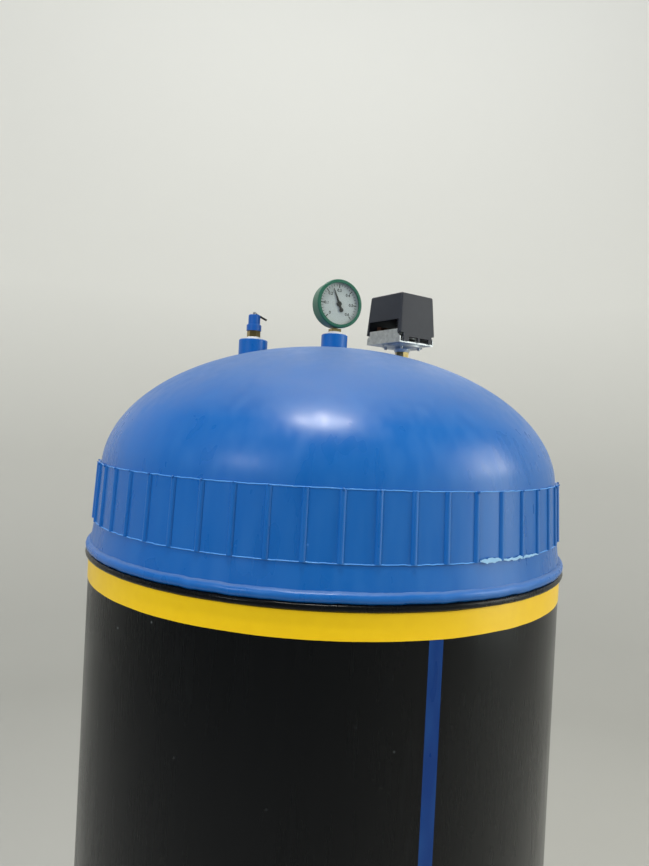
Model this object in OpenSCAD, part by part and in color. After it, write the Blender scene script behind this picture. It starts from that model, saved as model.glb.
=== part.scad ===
// Upright water pressure tank welded from a plastic pipe and two moulded domed caps.
// The origin is on the floor, on the tank's axis. The front is towards -Y.

/* [Shell pipe] */
// Outside diameter of the shell pipe
pipe_od = 560; // [500:5:630]
// Wall of the shell pipe
pipe_wall = 21.4; // [16:0.2:30]
// Length of the shell pipe between its two weld planes
pipe_len = 1000; // [500:10:1600]
// Number of coloured stripes round the pipe
stripe_count = 3; // [2:1:6]
// Width of one stripe
stripe_w = 14; // [8:0.5:24]
// Depth of the coloured layer under the pipe's surface
stripe_depth = 2; // [1.2:0.1:4]
// Direction of the first stripe, from the front towards +X
stripe_turn = 20.7; // [0:0.1:119]

/* [End caps] */
// Wall of a domed cap
cap_wall = 20; // [12:0.5:28]
// Rise of the dome above its equator
dome_rise = 156.6; // [110:0.2:200]
// How far the dome's equator lies inside the pipe's surface
rim_inset = 8.5; // [6:0.5:14]
// Height of the dome's equator above the weld plane
equator_h = 89; // [70:1:120]
// Height of the lower edge of the ribbed band above the weld plane
band_foot = 33; // [20:0.5:45]
// Height of the ribbed band
band_h = 63; // [40:0.5:72]
// How far the band's panel stands proud of the skirt at its lower edge
band_step = 0.8; // [0.4:0.1:2]
// How far the band's panel stands proud of the equator at its upper edge
band_lip = 1.5; // [0.6:0.1:3]
// How far the cap's skirt narrows under the band
skirt_inset = 4.5; // [1:0.5:7]
// Number of ribs round the band
rib_count = 54; // [36:1:72]
// Height of a rib over the band's panel
rib_proud = 2; // [1:0.1:3]
// Width of a rib in degrees round the axis
rib_arc = 1.25; // [0.6:0.05:2.2]
// Direction of the first rib, from the front towards +X
rib_turn = 2.5; // [0:0.1:6]
// Room between a rib's end and the band's edge
rib_end = 1.5; // [1:0.1:5]

/* [Weld beads] */
// Radius of the rolled bead on the cap's edge
cap_bead_r = 5.2; // [3:0.1:7]
// Radius of the rolled bead on the pipe's edge
pipe_bead_r = 3.4; // [2:0.1:5]
// How much of each bead's roll is flattened against the other
bead_flat = 0.3; // [0.1:0.1:0.8]
// How far a bead stands proud of the pipe
bead_proud = 3.8; // [1.5:0.1:5]

/* [Tape band] */
// Width of the tape round the pipe
tape_w = 24; // [12:1:60]
// Thickness of the tape
tape_t = 0.5; // [0.3:0.1:1]
// Room between the weld bead and the tape
tape_gap = 0.4; // [0.2:0.1:20]

/* [Base skirt] */
// Clear height between the floor and the lower dome
floor_gap = 80; // [60:1:160]
// Drop from the lower dome's equator to the skirt's upper edge
seat_drop = 30; // [20:1:45]
// Width of a pipe way through the skirt
arch_w = 150; // [80:2:200]
// Height of a pipe way through the skirt
arch_h = 135; // [100:1:145]
// Number of pipe ways
arch_count = 2; // [2:1:4]
// Radius of the weld run between skirt and dome
base_bead_r = 7; // [4:0.2:9]

/* [Sockets] */
// Height of a socket over the dome
socket_h = 18.5; // [12:0.5:30]
// Bevel on a socket's upper edge
socket_bevel = 1; // [0.4:0.1:2]
// How far a socket reaches inside the dome
socket_stub = 3; // [1:0.5:8]
// Diameter of the gauge's socket
gauge_socket_d = 33; // [26:0.5:44]
// Diameter of the safety valve's socket
valve_socket_d = 36; // [26:0.5:44]
// Diameter of the pressure switch's socket
switch_socket_d = 36; // [26:0.5:44]
// Distance of the safety valve's socket from the axis
valve_reach = 102; // [70:1:140]
// Direction of the safety valve's socket, from the front towards +X
valve_turn = -90; // [-120:1:-60]
// Distance of the pressure switch's socket from the axis
switch_reach = 130; // [110:1:150]
// Direction of the pressure switch's socket, from the front towards +X
switch_turn = 132.5; // [110:0.5:160]
// Diameter of an inlet or outlet socket
port_socket_d = 46; // [40:0.5:56]
// Tapped bore of an inlet or outlet socket
port_bore_d = 30.3; // [20:0.1:34]
// Distance of the inlet and outlet sockets from the axis
port_reach = 105; // [70:1:140]
// Diameter of the drain socket
drain_socket_d = 33; // [28:0.5:44]
// Tapped bore of the drain socket
drain_bore_d = 18.6; // [12:0.1:22]

/* [Pressure gauge] */
// Outside diameter of the gauge's ring
gauge_d = 60.6; // [50:0.2:70]
// Height of the square shank under the gauge's case
shank_h = 4; // [3:0.5:15]
// Width of the square shank across its flats
shank_w = 12; // [10:0.5:16]
// Diameter of the gauge's thread
gauge_thread_d = 14; // [12:0.1:18]
// Depth of the gauge's case behind the stem's axis
case_back = 9.5; // [8:0.5:15]
// Room for the movement between the stem and the dial
movement_room = 4.5; // [0.5:0.1:8]
// Depth from the glass back to the dial
dial_depth = 2.4; // [2.2:0.1:6]
// Thickness of the glass
glass_t = 1; // [0.8:0.1:2]
// Thickness of the ring's lip in front of the glass
bezel_lip = 0.8; // [0.6:0.1:2]
// Rounding of the ring's front edge
bezel_round = 1.6; // [0.6:0.1:1.6]
// Wall of the case
case_wall = 1.6; // [1:0.1:2.5]
// Direction that the dial faces, from the front towards +X
gauge_turn = 24; // [-60:1:60]
// Reading of the pointer, turned back from the top of the dial
pointer_turn = 23; // [0:1:110]
// Length of the pointer from its centre to its tip
pointer_len = 20; // [14:0.5:23]

/* [Safety valve] */
// Width of the valve's brass hexagon across its flats
valve_hex_w = 14.6; // [13:0.2:18]
// Height of the brass hexagon
valve_hex_h = 8; // [5:0.5:12]
// Diameter of the valve's thread
valve_thread_d = 13; // [10:0.1:14]
// Diameter of the bonnet's lower stage
bonnet_low_d = 18.6; // [17:0.1:22]
// Height of the bonnet's lower stage
bonnet_low_h = 8; // [5:0.2:12]
// Diameter of the bonnet's upper stage
bonnet_top_d = 15; // [12:0.1:16]
// Height of the bonnet's upper stage
bonnet_top_h = 12.2; // [9:0.2:18]
// Diameter of the valve's stem
valve_stem_d = 4.4; // [4:0.1:6]
// Length of the test lever from its pivot
lever_len = 17.5; // [14:0.5:30]
// Height of the test lever's bar
lever_bar = 2.4; // [1.8:0.1:3]
// Thickness of the test lever
lever_t = 1.5; // [1:0.1:2]
// Slope of the test lever at rest, below the level
lever_slope = 27; // [20:1:45]

/* [Pressure switch] */
// Height of the nipple's hexagon between socket and flange
nipple_hex_h = 12; // [8:0.5:25]
// Width of the nipple's hexagon across its flats
nipple_hex_w = 17; // [15:0.5:22]
// Diameter of the nipple's threads
nipple_thread_d = 13; // [10:0.1:14]
// Diameter of the diaphragm flange
flange_d = 56; // [50:0.5:56]
// Height of the dished diaphragm flange
flange_h = 9; // [7:0.5:14]
// Width of the base plate and the cover's foot, along the cable sides
switch_depth = 68; // [66:1:90]
// Width of the base plate and the cover's foot, across the cable sides
switch_width = 62; // [62:1:80]
// Distance of the base plate's middle from the nipple, across the cable sides
plate_off_x = -3; // [-3:0.1:3]
// Distance of the base plate's middle from the nipple, along the cable sides
plate_off_y = 2.2; // [-3:0.1:3]
// Thickness of the base plate
plate_t = 2; // [1.5:0.1:3]
// Height of the base's upturned sides
cheek_h = 16; // [14:0.5:22]
// Height of the cover
cover_h = 65; // [58:0.5:80]
// Wall of the cover
cover_wall = 2; // [1.5:0.1:3]
// How much the cover narrows from foot to top, on each side
cover_draft = 1.6; // [1:0.1:5]
// Height of the cable notches in the cover
notch_h = 29; // [26:0.5:36]
// Height of the cover's corners over the plate, beside the cable notches
corner_foot = 11; // [4:0.5:13]
// Direction of the switch's long face, turned about the nipple
switch_face = 36; // [0:1:90]

/* [Hidden] */
$fn = 96;
fine = 240;

// Small allowances
spare = 1;
seat_play = 0.2;
thread_play = 0.1;

// Colours
pipe_black = "#1b1c1f";
cap_blue = "#1f4fa8";
tape_yellow = "#e9c400";
thread_white = "#f2f2ee";
brass = "#b5924c";
case_green = "#1f6b3a";
zinc = "#9a9c9c";
cover_black = "#202124";

// Heights and radii that the shell gives to the other pieces
pipe_r = pipe_od / 2;
pipe_ir = pipe_r - pipe_wall;
rim_r = pipe_r - rim_inset;
cap_h = equator_h + dome_rise;
low_joint = floor_gap + cap_h;
top_joint = low_joint + pipe_len;
low_equator = low_joint - equator_h;
top_equator = top_joint + equator_h;

// Dome heights over the equator at a distance from the axis, outside and inside
function dome_out(r) = dome_rise * sqrt(1 - pow(r / rim_r, 2));
function dome_in(r) = (dome_rise - cap_wall) * sqrt(1 - pow(r / (rim_r - cap_wall), 2));

// Places a child at a direction measured from the front, towards +X
module facing(turn, reach = 0) {
    rotate([0, 0, turn - 90])
        translate([reach, 0, 0])
            children();
}

// Quarter of an ellipse, the half section of a dome over its equator
module dome_half(rim, rise) {
    intersection() {
        scale([1, rise / rim])
            circle(r = rim, $fn = fine);
        square([rim + spare, rise + spare]);
    }
}

// Half section of one rolled weld bead that lies on the weld plane
module bead_half(bead_r) {
    intersection() {
        translate([pipe_r + bead_proud - bead_r, bead_r - bead_flat])
            circle(r = bead_r, $fn = 48);
        square([pipe_r + bead_proud + spare, 2 * bead_r]);
    }
}

function hex_r(flats) = flats / sqrt(3);

// The shell pipe, with a bead rolled out at each weld
stripe_end = 2 * pipe_bead_r + spare;

module stripe_blank() {
    translate([pipe_r - stripe_depth, -stripe_w / 2, stripe_end])
        cube([stripe_depth + spare, stripe_w, pipe_len - 2 * stripe_end]);
}

module each_stripe() {
    for (i = [0 : stripe_count - 1])
        facing(stripe_turn + i * 360 / stripe_count)
            children();
}

module shell_pipe() {
    color(pipe_black)
        translate([0, 0, low_joint])
            difference() {
                rotate_extrude() {
                    translate([pipe_ir, 0])
                        square([pipe_wall, pipe_len]);
                    bead_half(pipe_bead_r);
                    translate([0, pipe_len])
                        mirror([0, 1])
                            bead_half(pipe_bead_r);
                }
                each_stripe()
                    stripe_blank();
            }
}

module pipe_stripes() {
    color(cap_blue)
        translate([0, 0, low_joint])
            intersection() {
                cylinder(r = pipe_r, h = pipe_len, $fn = fine);
                each_stripe()
                    stripe_blank();
            }
}

// A moulded cap: dome, ribbed band, skirt and rolled weld bead, standing on its weld plane
band_top = band_foot + band_h;
skirt_r = pipe_r - skirt_inset;
band_low_r = skirt_r + band_step;
band_top_r = rim_r + band_lip;

// Radius of the band's panel at a height above the weld plane
function band_r(h) = band_low_r + (band_top_r - band_low_r) * (h - band_foot) / band_h;

module cap_half() {
    difference() {
        union() {
            translate([0, equator_h])
                dome_half(rim_r, dome_rise);
            translate([0, band_foot])
                square([rim_r, equator_h - band_foot]);
            polygon([
                [0, 0],
                [pipe_r, 0],
                [skirt_r, band_foot],
                [band_low_r, band_foot],
                [band_top_r, band_top],
                [0, band_top]
            ]);
            bead_half(cap_bead_r);
        }
        translate([0, equator_h])
            dome_half(rim_r - cap_wall, dome_rise - cap_wall);
        polygon([
            [0, -spare],
            [pipe_ir, -spare],
            [pipe_ir, 0],
            [rim_r - cap_wall, equator_h],
            [0, equator_h + cap_wall]
        ]);
    }
}

module rib() {
    foot = band_foot + rib_end;
    head = band_top - rib_end;
    rotate([0, 0, -rib_arc / 2])
        rotate_extrude(angle = rib_arc)
            polygon([
                [band_r(foot) - spare, foot],
                [band_r(foot) + rib_proud, foot],
                [band_r(head) + rib_proud, head],
                [band_r(head) - spare, head]
            ]);
}

module cap() {
    rotate_extrude()
        cap_half();
    for (i = [0 : rib_count - 1])
        facing(rib_turn + i * 360 / rib_count)
            rib();
}

module socket_hole(d) {
    translate([0, 0, equator_h])
        cylinder(d = d + 2 * seat_play, h = dome_rise + spare);
}

module top_cap() {
    color(cap_blue)
        translate([0, 0, top_joint])
            difference() {
                cap();
                socket_hole(gauge_socket_d);
                facing(valve_turn, valve_reach)
                    socket_hole(valve_socket_d);
                facing(switch_turn, switch_reach)
                    socket_hole(switch_socket_d);
            }
}

module bottom_cap() {
    color(cap_blue)
        translate([0, 0, low_joint])
            mirror([0, 0, 1])
                difference() {
                    cap();
                    socket_hole(drain_socket_d);
                    for (side = [-90, 90])
                        facing(side, port_reach)
                            socket_hole(port_socket_d);
                }
}

// The tape round the pipe, under the upper weld
tape_top = top_joint - 2 * pipe_bead_r + bead_flat - tape_gap;

module yellow_tape() {
    color(tape_yellow)
        translate([0, 0, tape_top - tape_w])
            difference() {
                cylinder(r = pipe_r + tape_t, h = tape_w);
                translate([0, 0, -spare])
                    cylinder(r = pipe_r, h = tape_w + 2 * spare);
            }
}

// The base skirt, coped to the lower dome, and the weld run on its upper edge
skirt_top = low_equator - seat_drop;
skirt_seat_r = rim_r * sqrt(1 - pow(seat_drop / dome_rise, 2));

module lower_dome_seat() {
    translate([0, low_equator])
        mirror([0, 1])
            dome_half(rim_r + seat_play, dome_rise + seat_play);
}

module pipe_way() {
    rotate([90, 0, 90])
        linear_extrude(pipe_od) {
            translate([-arch_w / 2, -spare])
                square([arch_w, arch_h - arch_w / 2 + spare]);
            intersection() {
                translate([0, arch_h - arch_w / 2])
                    circle(d = arch_w);
                translate([-arch_w, arch_h - arch_w / 2])
                    square([2 * arch_w, arch_w]);
            }
        }
}

module base_skirt() {
    color(pipe_black)
        difference() {
            rotate_extrude()
                difference() {
                    translate([pipe_ir, 0])
                        square([pipe_wall, skirt_top]);
                    lower_dome_seat();
                }
            for (i = [0 : arch_count - 1])
                facing(90 + i * 360 / arch_count)
                    pipe_way();
        }
}

module base_weld() {
    color(pipe_black)
        rotate_extrude()
            difference() {
                translate([skirt_seat_r + base_bead_r / 4, skirt_top])
                    circle(r = base_bead_r, $fn = 48);
                translate([0, skirt_top - 2 * base_bead_r])
                    square([pipe_od, 2 * base_bead_r]);
                lower_dome_seat();
            }
}

// Threaded sockets set through the domes, drawn upright on an equator at zero
module socket(d, bore_d, reach) {
    foot = dome_in(reach + d / 2) - socket_stub;
    head = dome_out(reach) + socket_h;
    translate([0, 0, foot])
        difference() {
            union() {
                cylinder(d = d, h = head - foot - socket_bevel);
                translate([0, 0, head - foot - socket_bevel])
                    cylinder(d1 = d, d2 = d - 2 * socket_bevel, h = socket_bevel);
            }
            translate([0, 0, -spare])
                cylinder(d = bore_d, h = head - foot + 2 * spare);
        }
}

module low_socket(d, bore_d, side, reach) {
    color(cap_blue)
        translate([0, 0, low_equator])
            mirror([0, 0, 1])
                facing(side, reach)
                    socket(d, bore_d, reach);
}

module inlet_socket() {
    low_socket(port_socket_d, port_bore_d, -90, port_reach);
}

module outlet_socket() {
    low_socket(port_socket_d, port_bore_d, 90, port_reach);
}

module drain_socket() {
    low_socket(drain_socket_d, drain_bore_d, 0, 0);
}

module top_socket(d, bore_d, turn, reach) {
    color(cap_blue)
        translate([0, 0, top_equator])
            facing(turn, reach)
                socket(d, bore_d, reach);
}

// Thread tape that shows as a collar between a socket and what is screwed into it
collar_h = 3.4;
collar_w = 2;
thread_len = 14;

module thread_collar(thread_d) {
    color(thread_white)
        difference() {
            cylinder(d = thread_d + 2 * collar_w, h = collar_h);
            translate([0, 0, -spare])
                cylinder(d = thread_d + 2 * thread_play, h = collar_h + 2 * spare);
        }
}

// The pressure gauge stands on the axis. Its own pieces are drawn on a level axis that
// points out of the dial, with zero on the stem.
gauge_socket_top = top_equator + dome_out(0) + socket_h;
shank_foot = gauge_socket_top + collar_h;
bezel_wall = 1.2;
case_r = gauge_d / 2 - bezel_wall;
case_ir = case_r - case_wall;
gauge_z = shank_foot + shank_h + gauge_d / 2 + seat_play;
neck_d = shank_w / 2;
neck_in = 4;
neck_top = gauge_z - case_ir + neck_in;
dial_t = 1;
dial_front = neck_d / 2 + movement_room + dial_t;
case_front = dial_front + dial_depth;
dial_shelf = 3;
dial_r = case_ir - seat_play;
bezel_over = 1.5;
bezel_ir = case_ir - bezel_over;
bezel_foot = dial_front - dial_t;
bezel_front = case_front + glass_t + bezel_lip;
spindle_r = 1.2;
spindle_tail = 6;
hub_r = 3.2;
hub_gap = 0.5;
hub_back = dial_front + hub_gap;
hub_t = 1.4;
needle_t = 0.6;
needle_back = hub_back + (hub_t - needle_t) / 2;
needle_w = 3;
needle_tail = 8;
tail_r = 2.8;

module gauge_socket() {
    top_socket(gauge_socket_d, gauge_thread_d + 2 * thread_play, 0, 0);
}

module gauge_thread_tape() {
    translate([0, 0, gauge_socket_top])
        thread_collar(gauge_thread_d);
}

module gauge_stem() {
    color(brass)
        rotate([0, 0, gauge_turn]) {
            translate([0, 0, gauge_socket_top - thread_len])
                cylinder(d = gauge_thread_d, h = thread_len + collar_h);
            translate([-shank_w / 2, -shank_w / 2, shank_foot])
                cube([shank_w, shank_w, shank_h]);
            translate([0, 0, shank_foot])
                cylinder(d = neck_d, h = neck_top - shank_foot);
        }
}

module on_dial_axis() {
    translate([0, 0, gauge_z])
        rotate([0, 0, gauge_turn])
            rotate([90, 0, 0])
                children();
}

module disc_ring(outer, inner, from, to) {
    translate([0, 0, from])
        difference() {
            cylinder(r = outer, h = to - from);
            translate([0, 0, -spare])
                cylinder(r = inner, h = to - from + 2 * spare);
        }
}

back_round = 2.5;

module case_half() {
    difference() {
        union() {
            translate([0, -case_back])
                square([case_r - back_round, case_front + case_back]);
            translate([0, back_round - case_back])
                square([case_r, case_front + case_back - back_round]);
            intersection() {
                translate([case_r - back_round, back_round - case_back])
                    circle(r = back_round, $fn = 48);
                translate([0, -case_back])
                    square([case_r, back_round]);
            }
        }
        translate([0, case_wall - case_back])
            square([case_ir - back_round, case_front + case_back]);
        translate([0, back_round - case_back])
            square([case_ir - dial_shelf, case_front + case_back]);
        translate([0, dial_front - dial_t])
            square([case_ir, case_front]);
    }
}

module gauge_case() {
    color(case_green)
        difference() {
            on_dial_axis()
                rotate_extrude()
                    case_half();
            translate([0, 0, gauge_z - gauge_d])
                cylinder(d = neck_d + 2 * thread_play, h = gauge_d - case_ir / 2);
        }
}

// The ring has a rounded front edge and grips the glass against the case's rim
module bezel_half() {
    edge_r = gauge_d / 2 - bezel_round;
    difference() {
        union() {
            translate([0, bezel_foot])
                square([edge_r, bezel_front - bezel_foot]);
            translate([0, bezel_foot])
                square([gauge_d / 2, bezel_front - bezel_round - bezel_foot]);
            translate([edge_r, bezel_front - bezel_round])
                circle(r = bezel_round, $fn = 48);
        }
        translate([0, bezel_foot - spare])
            square([case_r + thread_play, case_front + glass_t - bezel_foot + spare]);
        translate([0, bezel_foot])
            square([bezel_ir, bezel_front]);
    }
}

module gauge_bezel() {
    color(case_green)
        on_dial_axis()
            rotate_extrude()
                bezel_half();
}

module gauge_dial() {
    color(thread_white)
        on_dial_axis()
            disc_ring(dial_r, spindle_r + thread_play, dial_front - dial_t, dial_front);
}

module gauge_glass() {
    color("#dfe8ea")
        on_dial_axis()
            translate([0, 0, case_front])
                cylinder(r = case_r - seat_play, h = glass_t);
}

module gauge_pointer() {
    color(cover_black)
        on_dial_axis()
            rotate([0, 0, pointer_turn]) {
                translate([0, 0, dial_front - dial_t - spindle_tail])
                    cylinder(r = spindle_r, h = hub_back + hub_t - dial_front + dial_t + spindle_tail);
                translate([0, 0, hub_back])
                    cylinder(r = hub_r, h = hub_t);
                translate([0, 0, needle_back])
                    linear_extrude(needle_t) {
                        polygon([
                            [-needle_w / 2, -needle_tail],
                            [needle_w / 2, -needle_tail],
                            [needle_w / 2, 0],
                            [needle_w / 10, pointer_len],
                            [-needle_w / 10, pointer_len],
                            [-needle_w / 2, 0]
                        ]);
                        translate([0, -needle_tail])
                            circle(r = tail_r, $fn = 32);
                    }
            }
}

// The safety valve, drawn with its axis upright and zero on its socket's upper face
valve_socket_top = top_equator + dome_out(valve_reach) + socket_h;
hex_foot = collar_h;
bonnet_foot = hex_foot + valve_hex_h;
bonnet_step = bonnet_foot + bonnet_low_h;
bonnet_head = bonnet_step + bonnet_top_h;
bonnet_edge = 0.8;
pivot_r = 0.75;
pivot_play = 0.05;
pivot_rise = 1.9;
pivot_z = bonnet_head + pivot_rise;
stem_over = 3.6;
stem_depth = 10;
lever_play = 0.45;
eye_r = 1.7;
slot_w = lever_t + 2 * lever_play;
lever_end = 0.8;

module at_valve() {
    translate([0, 0, valve_socket_top])
        facing(valve_turn, valve_reach)
            rotate([0, 0, 90 - valve_turn])
                children();
}

module valve_socket() {
    top_socket(valve_socket_d, valve_thread_d + 2 * thread_play, valve_turn, valve_reach);
}

module valve_thread_tape() {
    at_valve()
        thread_collar(valve_thread_d);
}

module valve_body() {
    color(brass)
        at_valve() {
            translate([0, 0, -thread_len])
                cylinder(d = valve_thread_d, h = thread_len + hex_foot);
            translate([0, 0, hex_foot])
                cylinder(r = hex_r(valve_hex_w), h = valve_hex_h, $fn = 6);
        }
}

// Side outline of the lever's bar, along +X from its pivot
module lever_outline(grow) {
    rotate(-lever_slope)
        polygon([
            [0, -lever_bar / 2 - grow],
            [lever_len - lever_end + grow, -lever_bar / 2 - grow],
            [lever_len + grow, -lever_bar / 2 + lever_end],
            [lever_len + grow, lever_bar / 2 + grow],
            [0, lever_bar / 2 + grow]
        ]);
}

module on_pivot(thickness) {
    translate([0, 0, pivot_z])
        rotate([90, 0, 0])
            translate([0, 0, -thickness / 2])
                linear_extrude(thickness)
                    children();
}

module valve_bonnet() {
    color(cap_blue)
        at_valve()
            difference() {
                rotate_extrude()
                    polygon([
                        [0, bonnet_foot],
                        [bonnet_low_d / 2, bonnet_foot],
                        [bonnet_low_d / 2, bonnet_step - bonnet_edge],
                        [bonnet_low_d / 2 - bonnet_edge, bonnet_step],
                        [bonnet_top_d / 2, bonnet_step],
                        [bonnet_top_d / 2, bonnet_head - bonnet_edge],
                        [bonnet_top_d / 2 - bonnet_edge, bonnet_head],
                        [0, bonnet_head]
                    ]);
                translate([0, 0, bonnet_head - stem_depth])
                    cylinder(d = valve_stem_d + 2 * thread_play, h = stem_depth + spare, $fn = 48);
                on_pivot(slot_w) {
                    lever_outline(lever_play);
                    square([bonnet_low_d, pivot_rise + spare]);
                    rotate(-lever_slope)
                        square([bonnet_low_d, bonnet_top_h / 2]);
                }
            }
}

module valve_stem() {
    color(zinc)
        at_valve()
            difference() {
                translate([0, 0, bonnet_head - stem_depth])
                    cylinder(d = valve_stem_d, h = stem_depth + stem_over, $fn = 48);
                translate([-valve_stem_d, -slot_w / 2, bonnet_head - lever_bar])
                    cube([2 * valve_stem_d, slot_w, lever_bar + stem_over + spare]);
                translate([0, valve_stem_d, pivot_z])
                    rotate([90, 0, 0])
                        cylinder(r = pivot_r, h = 2 * valve_stem_d, $fn = 48);
            }
}

module valve_pivot() {
    color(zinc)
        at_valve()
            translate([0, valve_stem_d / 2, pivot_z])
                rotate([90, 0, 0])
                    cylinder(r = pivot_r - pivot_play, h = valve_stem_d, $fn = 48);
}

module valve_lever() {
    color(cover_black)
        at_valve()
            on_pivot(lever_t)
                difference() {
                    union() {
                        circle(r = eye_r, $fn = 48);
                        lever_outline(0);
                    }
                    circle(r = pivot_r, $fn = 48);
                }
}

// The pressure switch, drawn with zero on its socket's upper face
switch_socket_top = top_equator + dome_out(switch_reach) + socket_h;
flange_foot = nipple_hex_h;
plate_foot = flange_foot + flange_h;
plate_head = plate_foot + plate_t;
cover_head = plate_head + cover_h;
neck_r = nipple_thread_d / 2 + thread_play;
screw_d = 4;
screw_head_d = 7;
screw_head_h = 2.6;
screw_tip = 3;
screw_edge = 5;
screw_reach = flange_d / 2 - screw_edge;
flange_rim = 3;
flange_flat = 9;
boss_wall = 1.5;
boss_draft = 2;
stud_d = 6;
stud_over = 7;
cheek_t = 1.5;
notch_side = 4;
cover_corner = 2.6;
corner_cut = 5;
cover_cap = 2.5;
plunger_w = 26;
plunger_l = 26;
plunger_h = 9;
plunger_t = 1.5;
coil_r = 8;
wire_r = 1.5;
coil_turns = 12;
coil_pitch = 2.4;
nut_h = 4;
nut_w = 10;
block_l = 46;
block_w = 8;
block_h = 24;
block_gap = 0.6;
block_cells = 4;
block_y = screw_reach * sin(45) + screw_head_d / 2 + block_gap;
barrier_t = 2;
tread_h = 9;

module at_switch() {
    translate([0, 0, switch_socket_top])
        facing(switch_turn, switch_reach)
            rotate([0, 0, 90 - switch_turn + switch_face])
                children();
}

module switch_socket() {
    top_socket(switch_socket_d, nipple_thread_d + 2 * thread_play, switch_turn, switch_reach);
}

module switch_nipple() {
    color(brass)
        at_switch() {
            translate([0, 0, -thread_len])
                cylinder(d = nipple_thread_d, h = thread_len + plate_foot - flange_rim);
            cylinder(r = hex_r(nipple_hex_w), h = nipple_hex_h, $fn = 6);
        }
}

module each_screw() {
    for (turn = [45 : 90 : 315])
        rotate([0, 0, turn])
            translate([screw_reach, 0, 0])
                children();
}

module switch_flange() {
    rim_foot = flange_h - flange_rim;
    boss_r = nipple_hex_w / 2 + boss_wall;
    color(zinc)
        at_switch()
            translate([0, 0, flange_foot])
                difference() {
                    rotate_extrude()
                        polygon([
                            [neck_r, 0],
                            [boss_r, 0],
                            [boss_r + boss_draft, rim_foot - boss_draft],
                            [flange_d / 2 - flange_flat, rim_foot],
                            [flange_d / 2, rim_foot],
                            [flange_d / 2, flange_h],
                            [neck_r, flange_h]
                        ]);
                    each_screw()
                        cylinder(d = screw_d + 2 * thread_play, h = flange_h + spare, $fn = 48);
                }
}

module cheek_outline() {
    wide = switch_depth / 2;
    narrow = wide - notch_side - spare;
    shoulder = corner_foot - spare;
    polygon([
        [-wide, 0],
        [wide, 0],
        [wide, shoulder - notch_side],
        [narrow, shoulder],
        [narrow, cheek_h],
        [-narrow, cheek_h],
        [-narrow, shoulder],
        [-wide, shoulder - notch_side]
    ]);
}

// Places a child on the middle of the base plate
module on_plate() {
    translate([plate_off_x, plate_off_y, plate_head])
        children();
}

module switch_base() {
    color(zinc)
        at_switch() {
            difference() {
                on_plate()
                    translate([-switch_width / 2, -switch_depth / 2, -plate_t])
                        cube([switch_width, switch_depth, plate_t]);
                translate([0, 0, plate_foot - spare])
                    each_screw()
                        cylinder(d = screw_d + 2 * thread_play, h = plate_t + 2 * spare, $fn = 48);
            }
            on_plate()
                for (side = [0, 180])
                    rotate([0, 0, side])
                        translate([switch_width / 2 - cheek_t, 0, 0])
                            rotate([90, 0, 90])
                                linear_extrude(cheek_t)
                                    cheek_outline();
        }
}

module switch_screws() {
    color(zinc)
        at_switch()
            each_screw() {
                translate([0, 0, flange_foot + flange_h - flange_rim - screw_tip])
                    cylinder(d = screw_d, h = flange_rim + screw_tip + plate_t, $fn = 48);
                translate([0, 0, plate_head])
                    cylinder(d = screw_head_d, h = screw_head_h, $fn = 48);
            }
}

// A folded bridge that the diaphragm pushes and the spring holds down
module switch_plunger_plate() {
    color(zinc)
        at_switch()
            translate([0, 0, plate_head])
                difference() {
                    translate([-plunger_w / 2, -plunger_l / 2, 0])
                        cube([plunger_w, plunger_l, plunger_h]);
                    translate([plunger_t - plunger_w / 2, -plunger_l, -spare])
                        cube([plunger_w - 2 * plunger_t, 2 * plunger_l, plunger_h - plunger_t + spare]);
                    cylinder(d = stud_d + 1, h = plunger_h + spare);
                }
}

module switch_stud() {
    color(zinc)
        at_switch()
            translate([0, 0, plate_head])
                cylinder(d = stud_d, h = cover_h + stud_over);
}

module switch_spring() {
    color(zinc)
        at_switch()
            translate([0, 0, plate_head + plunger_h])
                rotate_extrude()
                    intersection() {
                        union() {
                            for (i = [0 : coil_turns - 1])
                                translate([coil_r, wire_r + i * coil_pitch - thread_play])
                                    circle(r = wire_r, $fn = 32);
                        }
                        square([2 * coil_r, coil_turns * coil_pitch]);
                    }
}

module switch_spring_nut() {
    color(brass)
        at_switch()
            translate([0, 0, plate_head + plunger_h + coil_turns * coil_pitch])
                difference() {
                    union() {
                        cylinder(r = coil_r + wire_r, h = plunger_t);
                        cylinder(r = hex_r(nut_w), h = plunger_t + nut_h, $fn = 6);
                    }
                    translate([0, 0, -spare])
                        cylinder(d = stud_d + 2 * thread_play, h = plunger_t + nut_h + 2 * spare);
                }
}

// A row of open terminal cells between barriers
module switch_terminal_block() {
    cell = (block_l - barrier_t) / block_cells;
    color("#3a2a20")
        at_switch()
            translate([-block_l / 2, block_y, plate_head])
                difference() {
                    cube([block_l, block_w, block_h]);
                    for (i = [0 : block_cells - 1])
                        translate([barrier_t + i * cell, -spare, block_h - tread_h])
                            cube([cell - barrier_t, block_w - barrier_t, tread_h + spare]);
                }
}

// Level slice of the cover: a rectangle with round corners
module cover_slice(inset, corner, height) {
    across = switch_width / 2 - inset - corner;
    along = switch_depth / 2 - inset - corner;
    translate([0, 0, height])
        linear_extrude(seat_play)
            for (x = [-across, across], y = [-along, along])
                translate([x, y])
                    circle(r = corner, $fn = 32);
}

module cover_form(inset, height) {
    corner = cover_corner - inset;
    hull() {
        cover_slice(inset, corner, 0);
        cover_slice(inset + cover_draft, corner, height - corner);
        cover_slice(inset + cover_draft + corner * 0.7, corner * 0.6, height - seat_play);
    }
}

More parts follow.
